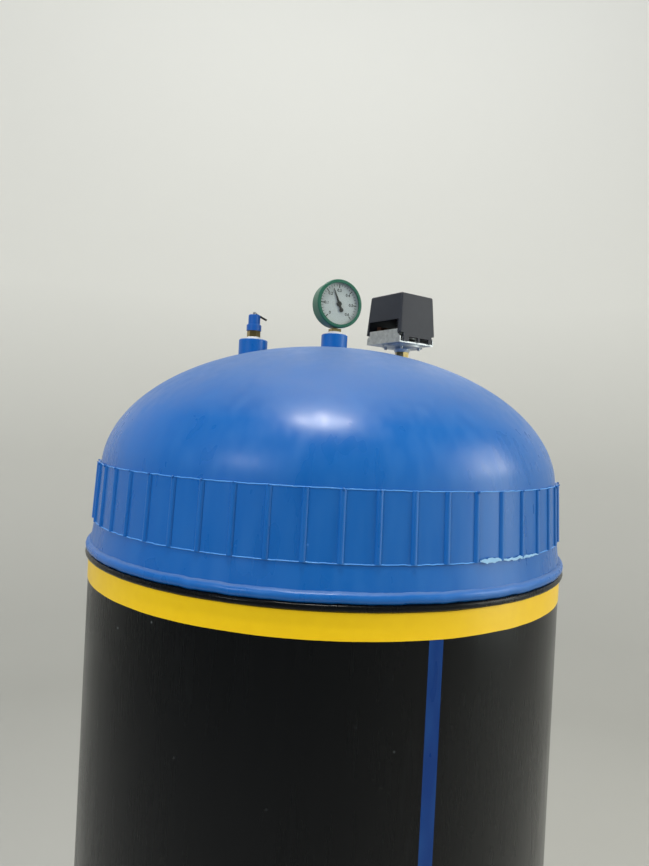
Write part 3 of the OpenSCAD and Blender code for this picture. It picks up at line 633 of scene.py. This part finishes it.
def cap_section():
    """The closed half section of a cap over its weld plane."""
    band_angle = math.asin((BAND_HEAD - EQUATOR) / DOME_RISE)
    outside = dome_arc(RIM_RADIUS, DOME_RISE, math.pi / 2, band_angle)
    band = [(BAND_HEAD_RADIUS, BAND_HEAD), (BAND_FOOT_RADIUS, BAND_FOOT), (SKIRT_RADIUS, BAND_FOOT)]
    foot = [(pipe_radius, 0), (pipe_radius - PIPE_WALL, 0)]
    inside = dome_arc(RIM_RADIUS - CAP_WALL, DOME_RISE - CAP_WALL, 0, math.pi / 2)
    return outside + band + foot + inside


print("points of a cap's section:", len(cap_section()))

# %% Cap shells
# The height of each weld, and the way that the cap points from it.
tank_ends = {"bottom": (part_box("shell_pipe")[0].z, -1), "top": (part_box("shell_pipe")[1].z, 1)}
HOLE_PLAY = 0.2 * MM
PLUG_SIDES = 72
CAP_STEPS = 432
SOCKETS = {
    "bottom": ("inlet_socket", "outlet_socket", "drain_socket"),
    "top": ("gauge_socket", "valve_socket", "switch_socket"),
}


def piece_from(work, name):
    """A new piece from a bmesh, which is then freed."""
    piece = new_piece(name)
    work.to_mesh(piece.data)
    work.free()
    return piece


def plug(middle, radius, length):
    """An upright round plug that cuts a hole."""
    work = bmesh.new()
    bmesh.ops.create_cone(
        work, cap_ends=True, segments=PLUG_SIDES, radius1=radius, radius2=radius, depth=length,
        matrix=Matrix.Translation(middle),
    )
    return piece_from(work, "plug")


def carve(piece, cutters, sharp=CRISP_EDGE):
    """Cuts each cutter out of a piece and removes the cutters."""
    for cutter in cutters:
        cut = piece.modifiers.new("cut", "BOOLEAN")
        cut.solver = "MANIFOLD"
        cut.object = cutter
    settle(piece, sharp)
    clean(piece.data)
    for cutter in cutters:
        bpy.data.objects.remove(cutter)


def cap_shell(end, plane, up):
    """One cap's shell, turned from its section, with the sockets' holes cut."""
    shell = revolved(end + "_cap_shell", [(r, plane + up * h) for r, h in cap_section()], CAP_STEPS)
    plugs = []
    for node in SOCKETS[end]:
        low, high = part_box(node)
        plugs.append(plug(middle_of(node), (high.x - low.x) / 2 + HOLE_PLAY, 2 * (high.z - low.z)))
    carve(shell, plugs)
    return shell


for end, (plane, up) in tank_ends.items():
    finish_piece(cap_shell(end, plane, up), "blue_pe", blue_moulding, end + "_cap")

# %% [markdown]
# Cap ribs
#
# Soft ridges run up the band, which stiffen it and give a grip. A modelled strip would have hard edges, so
# each rib is a round bar sunk into the band, and a tree sets the bars round it. A nub of squeezed-out melt
# sits at the head of each, and a seeded random size keeps the nubs from looking alike.

# %% Rib tree
BAR_STEPS = 40
BAR_SIDES = 20
END_STEEPNESS = 24.0
NUB_SEED = 7
SMALLEST_NUB = 0.25


def rib_ring():
    """Round bars with rounded ends, evenly round an upright axis, each with a nub at its head."""
    sizes = ("First", "Foot_radius", "Foot", "Head_radius", "Head", "Roll", "Sink", "Nub")
    tree, given = new_tree("rib_ring", *sizes, Count="Int")
    count, sink = given["Count"], given["Sink"]
    foot_radius = add(tree, "ShaderNodeMath", {0: given["Foot radius"], 1: sink}, operation="SUBTRACT")
    head_radius = add(tree, "ShaderNodeMath", {0: given["Head radius"], 1: sink}, operation="SUBTRACT")
    low = add(tree, "ShaderNodeCombineXYZ", {"X": foot_radius, "Z": given["Foot"]})
    high = add(tree, "ShaderNodeCombineXYZ", {"X": head_radius, "Z": given["Head"]})
    line = add(tree, "GeometryNodeCurvePrimitiveLine", {"Start": low, "End": high})
    fine = add(tree, "GeometryNodeResampleCurve", {"Curve": line, "Count": BAR_STEPS})
    along = add(tree, "GeometryNodeSplineParameter").outputs["Factor"]
    ends = add(tree, "ShaderNodeMath", {0: along, 1: 2.0, 2: -1.0}, operation="MULTIPLY_ADD")
    far = add(tree, "ShaderNodeMath", {0: ends}, operation="ABSOLUTE")
    steep = add(tree, "ShaderNodeMath", {0: far, 1: END_STEEPNESS}, operation="POWER")
    left = add(tree, "ShaderNodeMath", {0: 1.0, 1: steep}, operation="SUBTRACT")
    round_end = add(tree, "ShaderNodeMath", {0: left, 1: 0.5}, operation="POWER")
    bar = add(tree, "GeometryNodeSetCurveRadius", {"Curve": fine, "Radius": round_end})
    outline = {"Resolution": BAR_SIDES, "Radius": given["Roll"]}
    section = add(tree, "GeometryNodeCurvePrimitiveCircle", outline)
    rib = add(tree, "GeometryNodeCurveToMesh", {"Curve": bar, "Profile Curve": section, "Fill Caps": True})
    number = add(tree, "GeometryNodeInputIndex")
    share = add(tree, "ShaderNodeMath", {0: number, 1: count}, operation="DIVIDE")
    angle = add(tree, "ShaderNodeMath", {0: share, 1: math.tau, 2: given["First"]}, operation="MULTIPLY_ADD")
    turn = add(tree, "FunctionNodeEulerToRotation", {0: add(tree, "ShaderNodeCombineXYZ", {"Z": angle})})
    spots = add(tree, "GeometryNodePoints", {"Count": count})
    bars = add(tree, "GeometryNodeInstanceOnPoints", {"Points": spots, "Instance": rib, "Rotation": turn})
    reach = add(tree, "ShaderNodeMath", {0: head_radius, 1: given["Roll"]}, operation="ADD")
    head = add(tree, "ShaderNodeCombineXYZ", {"X": reach, "Z": given["Head"]})
    heads = add(tree, "ShaderNodeVectorRotate", {"Vector": head, "Angle": angle}, rotation_type="Z_AXIS")
    head_spots = add(tree, "GeometryNodePoints", {"Count": count, "Position": heads})
    ball = add(tree, "GeometryNodeMeshIcoSphere", {"Radius": given["Nub"], "Subdivisions": 2})
    # Inputs 2 and 3 are the least and the greatest number.
    size = add(tree, "FunctionNodeRandomValue", {2: SMALLEST_NUB, 3: 1.0, "Seed": NUB_SEED})
    nubs = add(tree, "GeometryNodeInstanceOnPoints", {"Points": head_spots, "Instance": ball, "Scale": size})
    both = add(tree, "GeometryNodeJoinGeometry", {"Geometry": bars})
    wire(tree, both, {"Geometry": nubs})
    return close_tree(tree, given, both)


ribs = rib_ring()

# %% Cap ribs
RIB_COUNT = 54
# The front is at -90 degrees, and a rib stands 2.5 degrees beside it.
FIRST_RIB = math.radians(2.5 - 90)
RIB_ROLL = 3.2 * MM
RIB_SINK = 0.9 * MM
NUB_RADIUS = 1.8 * MM
for end, (plane, up) in tank_ends.items():
    grow(
        end + "_cap_ribs", ribs, "blue_pe", blue_moulding, Count=RIB_COUNT, First=FIRST_RIB,
        Foot_radius=BAND_FOOT_RADIUS, Foot=up * BAND_FOOT, Head_radius=BAND_HEAD_RADIUS, Head=up * BAND_HEAD,
        Roll=RIB_ROLL, Sink=RIB_SINK, Nub=NUB_RADIUS, Place=(0, 0, plane),
    )

# %% [markdown]
# Weld beads and mould lines
#
# When the cap is welded to the pipe, both edges melt and roll outwards into two beads that are never quite
# even. The mould leaves a thin ragged line along each edge of the ribbed band. A displaced tube could give
# them, but a curve with a noisy radius keeps the section round and the lumps as long as real ones.

# %% Bead tree
RING_STEPS = 900
RING_SIDES = 16


def rolled_ring():
    """A level ring of round section whose thickness and height wander."""
    tree, given = new_tree("rolled_ring", "Ring_radius", "Roll", "Lump", "Lump_size", "Wander")
    path = {"Resolution": RING_STEPS, "Radius": given["Ring radius"]}
    ring = add(tree, "GeometryNodeCurvePrimitiveCircle", path)
    place = add(tree, "GeometryNodeInputPosition")
    fine = add(tree, "ShaderNodeMath", {0: 1.0, 1: given["Lump size"]}, operation="DIVIDE")
    noise = add(tree, "ShaderNodeTexNoise", {"Vector": place, "Scale": fine, "Detail": 3})
    swing = add(tree, "ShaderNodeMapRange", {"Value": noise, **NOISE_RANGE, "To Min": -1})
    thick = add(tree, "ShaderNodeMath", {0: swing, 1: given["Lump"], 2: 1.0}, operation="MULTIPLY_ADD")
    rise = add(tree, "ShaderNodeMath", {0: swing, 1: given["Wander"]}, operation="MULTIPLY")
    shift = add(tree, "ShaderNodeCombineXYZ", {"Z": rise})
    wandering = add(tree, "GeometryNodeSetPosition", {"Geometry": ring, "Offset": shift})
    lumpy = add(tree, "GeometryNodeSetCurveRadius", {"Curve": wandering, "Radius": thick})
    outline = {"Resolution": RING_SIDES, "Radius": given["Roll"]}
    section = add(tree, "GeometryNodeCurvePrimitiveCircle", outline)
    tube = add(tree, "GeometryNodeCurveToMesh", {"Curve": lumpy, "Profile Curve": section})
    return close_tree(tree, given, tube)


rolled = rolled_ring()

# %% Weld beads and mould lines
bead_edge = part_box("top_cap")[1].x
CAP_ROLL = 5.2 * MM
PIPE_ROLL = 3.4 * MM
BEAD_FLAT = 0.3 * MM
BEAD_LUMP_SIZE = 16 * MM
LINE_ROLL = 0.55 * MM
LINE_LUMP_SIZE = 9 * MM
BAND_EDGES = {"foot": (BAND_FOOT, BAND_FOOT_RADIUS), "head": (BAND_HEAD, BAND_HEAD_RADIUS)}
for end, (plane, up) in tank_ends.items():
    grow(
        end + "_cap_bead", rolled, "blue_pe", blue_moulding, Ring_radius=bead_edge - CAP_ROLL, Roll=CAP_ROLL,
        Lump=0.09, Lump_size=BEAD_LUMP_SIZE, Wander=0.5 * MM,
        Place=(0, 0, plane + up * (CAP_ROLL - BEAD_FLAT)),
    )
    grow(
        end + "_pipe_bead", rolled, "black_pe", black_polyethylene, Ring_radius=bead_edge - PIPE_ROLL,
        Roll=PIPE_ROLL, Lump=0.08, Lump_size=BEAD_LUMP_SIZE, Wander=0.3 * MM,
        Place=(0, 0, plane - up * (PIPE_ROLL - BEAD_FLAT)),
    )
    for edge, (height, radius) in BAND_EDGES.items():
        grow(
            end + "_mould_line_" + edge, rolled, "blue_pe", trimmed_edge, Ring_radius=radius, Roll=LINE_ROLL,
            Lump=0.8, Lump_size=LINE_LUMP_SIZE, Wander=0.35 * MM, Place=(0, 0, plane + up * height),
        )

# %% [markdown]
# Wound tapes
#
# The yellow tape goes once round the pipe and overlaps at the back, and the white thread tape is several
# ragged turns squeezed out between a fitting and its socket. A ring of cylinder wall would show no end and
# no wave, so one tree bends a flat grid into a spiral, waves its edges and gives it thickness. It can also
# narrow the strip towards its ends.

# %% Tape tree
STRIP_ROWS = 6
TAPER_STEEPNESS = 2.5
STRIP_MERGE = 0.004 * MM


def wound_tape():
    """A strip on a spiral about an upright axis, with wavy edges and tapered ends."""
    sizes = ("Radius", "Width", "Thickness", "Start", "Turns", "Wave", "Wave_size", "Taper")
    tree, given = new_tree("wound_tape", *sizes, Steps="Int")
    radius, thickness, start = given["Radius"], given["Thickness"], given["Start"]
    square = {"Size X": 1.0, "Size Y": 1.0, "Vertices X": given["Steps"], "Vertices Y": STRIP_ROWS}
    flat = add(tree, "GeometryNodeMeshGrid", square)
    axes = add(tree, "ShaderNodeSeparateXYZ", {"Vector": add(tree, "GeometryNodeInputPosition")}).outputs
    along = add(tree, "ShaderNodeMath", {0: axes["X"], 1: 0.5}, operation="ADD")
    ends = add(tree, "ShaderNodeMath", {0: axes["X"], 1: 2.0}, operation="MULTIPLY")
    far = add(tree, "ShaderNodeMath", {0: ends}, operation="ABSOLUTE")
    steep = add(tree, "ShaderNodeMath", {0: far, 1: TAPER_STEEPNESS}, operation="POWER")
    lost = add(tree, "ShaderNodeMath", {0: steep, 1: given["Taper"]}, operation="MULTIPLY")
    kept = add(tree, "ShaderNodeMath", {0: 1.0, 1: lost}, operation="SUBTRACT")
    across = add(tree, "ShaderNodeMath", {0: axes["Y"], 1: kept, 2: 0.5}, operation="MULTIPLY_ADD")
    turned = add(tree, "ShaderNodeMath", {0: along, 1: given["Turns"]}, operation="MULTIPLY")
    angle = add(tree, "ShaderNodeMath", {0: turned, 1: math.tau, 2: start}, operation="MULTIPLY_ADD")
    layer = add(tree, "ShaderNodeMath", {0: turned, 1: thickness, 2: radius}, operation="MULTIPLY_ADD")
    spread = add(tree, "ShaderNodeMath", {0: turned, 1: radius}, operation="MULTIPLY")
    apart = add(tree, "ShaderNodeCombineXYZ", {"X": layer, "Z": spread})
    spot = add(tree, "ShaderNodeVectorRotate", {"Vector": apart, "Angle": angle}, rotation_type="Z_AXIS")
    fine = add(tree, "ShaderNodeMath", {0: 1.0, 1: given["Wave size"]}, operation="DIVIDE")
    noise = add(tree, "ShaderNodeTexNoise", {"Vector": spot, "Scale": fine, "Detail": 4})
    swing = add(tree, "ShaderNodeMapRange", {"Value": noise, **NOISE_RANGE, "To Min": -1})
    wave = add(tree, "ShaderNodeMath", {0: swing, 1: given["Wave"]}, operation="MULTIPLY")
    height = add(tree, "ShaderNodeMath", {0: across, 1: given["Width"], 2: wave}, operation="MULTIPLY_ADD")
    raised = add(tree, "ShaderNodeCombineXYZ", {"X": layer, "Z": height})
    bent = add(tree, "ShaderNodeVectorRotate", {"Vector": raised, "Angle": angle}, rotation_type="Z_AXIS")
    strip = add(tree, "GeometryNodeSetPosition", {"Geometry": flat, "Position": bent})
    pull = {"Mesh": strip, "Offset Scale": thickness, "Individual": False}
    front = add(tree, "GeometryNodeExtrudeMesh", pull)
    back = add(tree, "GeometryNodeFlipFaces", {"Mesh": strip})
    both = add(tree, "GeometryNodeJoinGeometry", {"Geometry": front})
    wire(tree, both, {"Geometry": back})
    whole = add(tree, "GeometryNodeMergeByDistance", {"Geometry": both, "Distance": STRIP_MERGE})
    return close_tree(tree, given, whole)


wound = wound_tape()

# %% Yellow tape
TAPE_THICKNESS = 0.25 * MM
TAPE_START = math.radians(80)
TAPE_TURNS = 1.06
tape_low, tape_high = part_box("yellow_tape")
grow(
    "yellow_tape_wrap", wound, "yellow_tape", yellow_film, "yellow_tape", Steps=720,
    Radius=tape_high.x - 2 * TAPE_THICKNESS, Width=tape_high.z - tape_low.z, Thickness=TAPE_THICKNESS,
    Start=TAPE_START, Turns=TAPE_TURNS, Wave=0.3 * MM, Wave_size=60 * MM, Taper=0.0,
    Place=(0, 0, tape_low.z),
)

# %% Thread tapes
THREAD_TAPE_DEPTH = 1.3 * MM
THREAD_TAPE_THICKNESS = 0.22 * MM
THREAD_TAPE_TURNS = 5.4
for node in ("gauge_thread_tape", "valve_thread_tape"):
    low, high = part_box(node)
    grow(
        node + "_turns", wound, "thread_tape", thread_film, node, Steps=420,
        Radius=(high.x - low.x) / 2 - THREAD_TAPE_DEPTH, Width=high.z - low.z,
        Thickness=THREAD_TAPE_THICKNESS, Start=0.6, Turns=THREAD_TAPE_TURNS, Wave=0.45 * MM,
        Wave_size=3 * MM, Taper=0.0, Place=(middle_of(node).x, middle_of(node).y, low.z),
    )

# %% [markdown]
# Torn slivers
#
# At the right of the front, two slivers of blue have torn away from the band's lower edge and hang there,
# whitened. They could be drawn point by point, but they are short strips with tapered ends and ragged
# edges, so the tree of the tapes makes them too.

# %% Torn slivers
SLIVER_STAND_OFF = 1.4 * MM
SLIVER_DROP = 0.8 * MM
# The direction and the sweep of each sliver in degrees, and its width in millimetres.
SLIVERS = {"long": (-55.5, 14.5, 2.6), "short": (-60.2, 5.6, 4.4)}
for sliver, (direction, sweep, width) in SLIVERS.items():
    grow(
        "torn_sliver_" + sliver, wound, "blue_pe", torn_edge, Steps=90,
        Radius=BAND_FOOT_RADIUS + SLIVER_STAND_OFF, Width=width * MM, Thickness=0.5 * MM,
        Start=math.radians(direction), Turns=sweep / 360, Wave=1.1 * MM, Wave_size=6 * MM, Taper=0.85,
        Place=(0, 0, tank_ends["top"][0] + BAND_FOOT - SLIVER_DROP),
    )

# %% [markdown]
# Spring and threads
#
# The switch's range spring is one wire on a helix, and a cut thread is a helix of a small three-sided
# section. The Screw modifier could turn them too, but the spiral curve takes the pitch and the number of
# turns as plain inputs, so the same tree winds the spring, the stud's thread and the threads in the ports.

# %% Helix tree
STEPS_PER_TURN = 40


def helix():
    """A wire on an upright helix."""
    tree, given = new_tree("helix", "Radius", "Pitch", "Turns", "Wire", Sides="Int")
    rise = add(tree, "ShaderNodeMath", {0: given["Pitch"], 1: given["Turns"]}, operation="MULTIPLY")
    path = {"Resolution": STEPS_PER_TURN, "Rotations": given["Turns"], "Height": rise}
    radii = {"Start Radius": given["Radius"], "End Radius": given["Radius"]}
    line = add(tree, "GeometryNodeCurveSpiral", {**path, **radii})
    outline = {"Resolution": given["Sides"], "Radius": given["Wire"]}
    section = add(tree, "GeometryNodeCurvePrimitiveCircle", outline)
    rod = add(tree, "GeometryNodeCurveToMesh", {"Curve": line, "Profile Curve": section, "Fill Caps": True})
    return close_tree(tree, given, rod)


coil = helix()

# %% Range spring
SPRING_WIRE = 1.45 * MM
SPRING_TURNS = 8.0
spring_low, spring_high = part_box("switch_spring")
spring_middle = middle_of("switch_spring")
spring_room = spring_high.z - spring_low.z - 2 * SPRING_WIRE
grow(
    "range_spring", coil, "zinc_steel", zinc_plate, "switch_spring", Wire=SPRING_WIRE, Sides=12,
    Radius=(spring_high.x - spring_low.x) / 2 - SPRING_WIRE, Pitch=spring_room / SPRING_TURNS,
    Turns=SPRING_TURNS, Place=(spring_middle.x, spring_middle.y, spring_low.z + SPRING_WIRE),
)

# %% Threads
THREAD_SIDES = 3
THREAD_EDGE = 20
STUD_PITCH = 1.0 * MM
STUD_THREAD_LENGTH = 10 * MM
STUD_BARE_END = 1 * MM
stud_low, stud_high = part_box("switch_stud")
stud_middle = middle_of("switch_stud")
stud_thread_foot = stud_high.z - STUD_THREAD_LENGTH - STUD_BARE_END
grow(
    "stud_thread", coil, "zinc_steel", zinc_plate, sharp=THREAD_EDGE, Wire=0.35 * MM, Sides=THREAD_SIDES,
    Radius=(stud_high.x - stud_low.x) / 2 - 0.1 * MM, Pitch=STUD_PITCH,
    Turns=STUD_THREAD_LENGTH / STUD_PITCH, Place=(stud_middle.x, stud_middle.y, stud_thread_foot),
)
PORT_BORE_RADIUS = {"inlet_socket": 15.15 * MM, "outlet_socket": 15.15 * MM, "drain_socket": 9.3 * MM}
PORT_PITCH = 2.31 * MM
PORT_THREAD_LENGTH = 22 * MM
PORT_BARE_END = 2 * MM
for node, bore in PORT_BORE_RADIUS.items():
    spot = middle_of(node)
    grow(
        node + "_thread", coil, "blue_pe_socket", blue_socket, sharp=THREAD_EDGE, Wire=0.9 * MM,
        Sides=THREAD_SIDES, Radius=bore - 0.2 * MM, Pitch=PORT_PITCH, Turns=PORT_THREAD_LENGTH / PORT_PITCH,
        Place=(spot.x, spot.y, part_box(node)[0].z + PORT_BARE_END),
    )

# %% [markdown]
# Switch hood
#
# The hood of the switch is a thin black moulding, wider at its foot so that it leaves the mould, with soft
# edges and an opening on two sides for the cables. A box with a bevel has no taper, so the walls are level
# rings of points joined from the foot to the top, outside and inside, and the openings are cut afterwards.

# %% Switch hood
HOOD_WIDTH = 62 * MM
HOOD_DEPTH = 68 * MM
HOOD_TURN = math.radians(36)
HOOD_FLARE = 2.2 * MM
HOOD_DRAFT = 3.8 * MM
HOOD_WALL = 2 * MM
HOOD_TOP = 2.5 * MM
HOOD_CORNER = 3 * MM
CORNER_STEPS = 6
CORNER_LOSS = 0.9
QUARTERS = ((1, 1), (-1, 1), (-1, -1), (1, -1))
hood_low, hood_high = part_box("switch_cover")
hood_height = hood_high.z - hood_low.z
hood_middle = Vector((*middle_of("switch_base").xy, hood_low.z))


def soft_ring(inset, corner, height):
    """A level rectangle with round corners, drawn in by an inset."""
    points = []
    half_width, half_depth = HOOD_WIDTH / 2 - inset - corner, HOOD_DEPTH / 2 - inset - corner
    for quarter, (x, y) in enumerate(QUARTERS):
        middle = Vector((x * half_width, y * half_depth, height))
        for step in range(CORNER_STEPS + 1):
            angle = (quarter + step / CORNER_STEPS) * math.pi / 2
            points.append(middle + corner * Vector((math.cos(angle), math.sin(angle), 0)))
    return points


def hood_wall(inset, corner, top):
    """Rings of one face of the hood's wall from its foot to its rounded top."""
    rings = [soft_ring(inset - HOOD_FLARE, corner, 0)]
    leaning = inset - HOOD_FLARE + HOOD_DRAFT
    for step in range(CORNER_STEPS):
        angle = step / CORNER_STEPS * math.pi / 2
        drawn_in = corner * (1 - math.cos(angle))
        height = top - corner * (1 - math.sin(angle))
        rings.append(soft_ring(leaning + drawn_in, corner - drawn_in * CORNER_LOSS, height))
    return rings


def hood_shell(name):
    """The hood before its openings are cut, a closed shell with its foot on the level."""
    outside = hood_wall(0, HOOD_CORNER, hood_height)
    inside = hood_wall(HOOD_WALL, HOOD_CORNER - HOOD_WALL, hood_height - HOOD_TOP)
    rings = outside[::-1] + inside
    around = len(rings[0])
    faces = [list(range(around)), [(len(rings) - 1) * around + i for i in range(around)]]
    for level in range(len(rings) - 1):
        for i in range(around):
            j = (i + 1) % around
            faces.append([level * around + k for k in (i, j, j + around, i + around)])
    piece = new_piece(name, [point for ring in rings for point in ring], [], faces)
    clean(piece.data)
    return piece


print("hood height in mm:", round(hood_height / MM, 1))

# %% [markdown]
# Openings of the hood
#
# The hood is open on two sides where cables go in, stepped at two corners to clear the base, slotted at its
# foot and drilled on top for the stud. Each opening is a box or a round plug cut out of the closed shell,
# which is simpler than walls drawn round every edge. The shell is then turned and set over the base.

# %% Openings of the hood
CABLE_OPENING = ((-60, -30, -2), (60, 30, 29))
CUT_CORNERS = (((26, -60, -2), (60, 60, 11)), ((-60, -60, -2), (-26, 60, 11)))
FOOT_SLOTS = (((-16, -60, -2), (0, 60, 6)), ((4, -60, -2), (20, 60, 6)))
STUD_HOLE = 3.4 * MM
STUD_PLUG_LENGTH = 20 * MM
HOOD_EDGE = 12


def block(low_mm, high_mm):
    """A box between two corners, in millimetres, that cuts an opening."""
    low, high = Vector(low_mm) * MM, Vector(high_mm) * MM
    work = bmesh.new()
    size = Matrix.Diagonal((*(high - low), 1))
    bmesh.ops.create_cube(work, size=1, matrix=Matrix.Translation((low + high) / 2) @ size)
    return piece_from(work, "block")


to_hood = Matrix.Translation(hood_middle) @ Matrix.Rotation(HOOD_TURN, 4, "Z")
stud_spot = to_hood.inverted() @ stud_middle
openings = [block(*corners) for corners in (CABLE_OPENING, *CUT_CORNERS, *FOOT_SLOTS)]
openings.append(plug((stud_spot.x, stud_spot.y, hood_height), STUD_HOLE, STUD_PLUG_LENGTH))
hood = hood_shell("switch_hood")
carve(hood, openings, HOOD_EDGE)
hood.data.transform(to_hood)
finish_piece(hood, "cover_black", cover_moulding, "switch_cover")

# %% [markdown]
# Dial marks
#
# The dial is printed with a scale over three quarters of a turn. An image could carry it, but marks with a
# real shape stay sharp from close by. A tree puts bars on points along the scale, long ones for the numbers
# and short ones between them.


# %% Mark tree
def dial_bars():
    """Bars that point to the dial's middle, evenly along the scale."""
    tree, given = new_tree("dial_bars", "Sweep", "Reach", "Bar_width", "Bar_length", "Ink", Count="Int")
    width, length, reach = given["Bar width"], given["Bar length"], given["Reach"]
    last = add(tree, "ShaderNodeMath", {0: given["Count"], 1: 1.0}, operation="SUBTRACT")
    number = add(tree, "GeometryNodeInputIndex")
    share = add(tree, "ShaderNodeMath", {0: number, 1: last}, operation="DIVIDE")
    centred = add(tree, "ShaderNodeMath", {0: 0.5, 1: share}, operation="SUBTRACT")
    angle = add(tree, "ShaderNodeMath", {0: centred, 1: given["Sweep"]}, operation="MULTIPLY")
    half = add(tree, "ShaderNodeMath", {0: length, 1: -0.5, 2: reach}, operation="MULTIPLY_ADD")
    top = add(tree, "ShaderNodeCombineXYZ", {"Y": half})
    spot = add(tree, "ShaderNodeVectorRotate", {"Vector": top, "Angle": angle}, rotation_type="Z_AXIS")
    spots = add(tree, "GeometryNodePoints", {"Count": given["Count"], "Position": spot})
    size = add(tree, "ShaderNodeCombineXYZ", {"X": width, "Y": length, "Z": given["Ink"]})
    bar = add(tree, "GeometryNodeMeshCube", {"Size": size})
    lean = add(tree, "FunctionNodeEulerToRotation", {0: add(tree, "ShaderNodeCombineXYZ", {"Z": angle})})
    bars = add(tree, "GeometryNodeInstanceOnPoints", {"Points": spots, "Instance": bar, "Rotation": lean})
    return close_tree(tree, given, bars)


bars = dial_bars()

# %% Dial marks
DIAL_TURN = math.radians(24)
DIAL_THICKNESS = 1 * MM
DIAL_SWEEP = math.radians(270)
SCALE_REACH = 24.5 * MM
INK = 0.06 * MM
LAST_NUMBER = 6
# The number of marks, and the width and length of each in millimetres.
MARKS = {"major": (LAST_NUMBER + 1, 1.1, 4.6), "minor": (LAST_NUMBER * 5 + 1, 0.5, 2.6)}
outward = Vector((math.sin(DIAL_TURN), -math.cos(DIAL_TURN), 0))
dial_front = middle_of("gauge_dial") + outward * (DIAL_THICKNESS / 2 + INK / 2)
for kind, (count, width, length) in MARKS.items():
    grow(
        "dial_marks_" + kind, bars, "pointer_black", dial_ink, Count=count, Sweep=DIAL_SWEEP,
        Reach=SCALE_REACH, Bar_width=width * MM, Bar_length=length * MM, Ink=INK, Place=tuple(dial_front),
        Turn=(math.pi / 2, 0, DIAL_TURN),
    )

# %% [markdown]
# Dial numbers
#
# Plain numbers stand inside the long marks. They could be drawn as strokes, but Blender's own letters have
# good shapes, so each number is a text made into a thin mesh of ink and then set on the dial. A slight
# swelling makes up for the fine strokes of the font, which wouldn't show at this size.

# %% Dial numbers
NUMBER_REACH = 16.8 * MM
NUMBER_SIZE = 5 * MM
NUMBER_BOLD = 0.14 * MM
LETTER_STEPS = 4
upright = Matrix.Rotation(DIAL_TURN, 4, "Z") @ Matrix.Rotation(math.pi / 2, 4, "X")
on_dial = Matrix.Translation(dial_front) @ upright


def dial_number(value):
    """One number as a mesh, upright at its place on the scale."""
    letters = bpy.data.curves.new("number", "FONT")
    letters.body = "0." + str(value) if value else "0"
    letters.size = NUMBER_SIZE
    letters.align_x, letters.align_y = "CENTER", "CENTER"
    letters.extrude = INK / 2
    letters.offset = NUMBER_BOLD
    letters.resolution_u = LETTER_STEPS
    holder = bpy.data.objects.new("number", letters)
    scene.collection.objects.link(holder)
    mesh = evaluated_mesh(holder)
    bpy.data.objects.remove(holder)
    angle = DIAL_SWEEP * (value / LAST_NUMBER - 0.5)
    spot = Vector((math.sin(angle), math.cos(angle), 0)) * NUMBER_REACH
    mesh.transform(on_dial @ Matrix.Translation(spot))
    clean(mesh)
    piece = bpy.data.objects.new("dial_number_" + str(value), mesh)
    scene.collection.objects.link(piece)
    return piece


for value in range(LAST_NUMBER + 1):
    finish_piece(dial_number(value), "pointer_black", dial_ink)
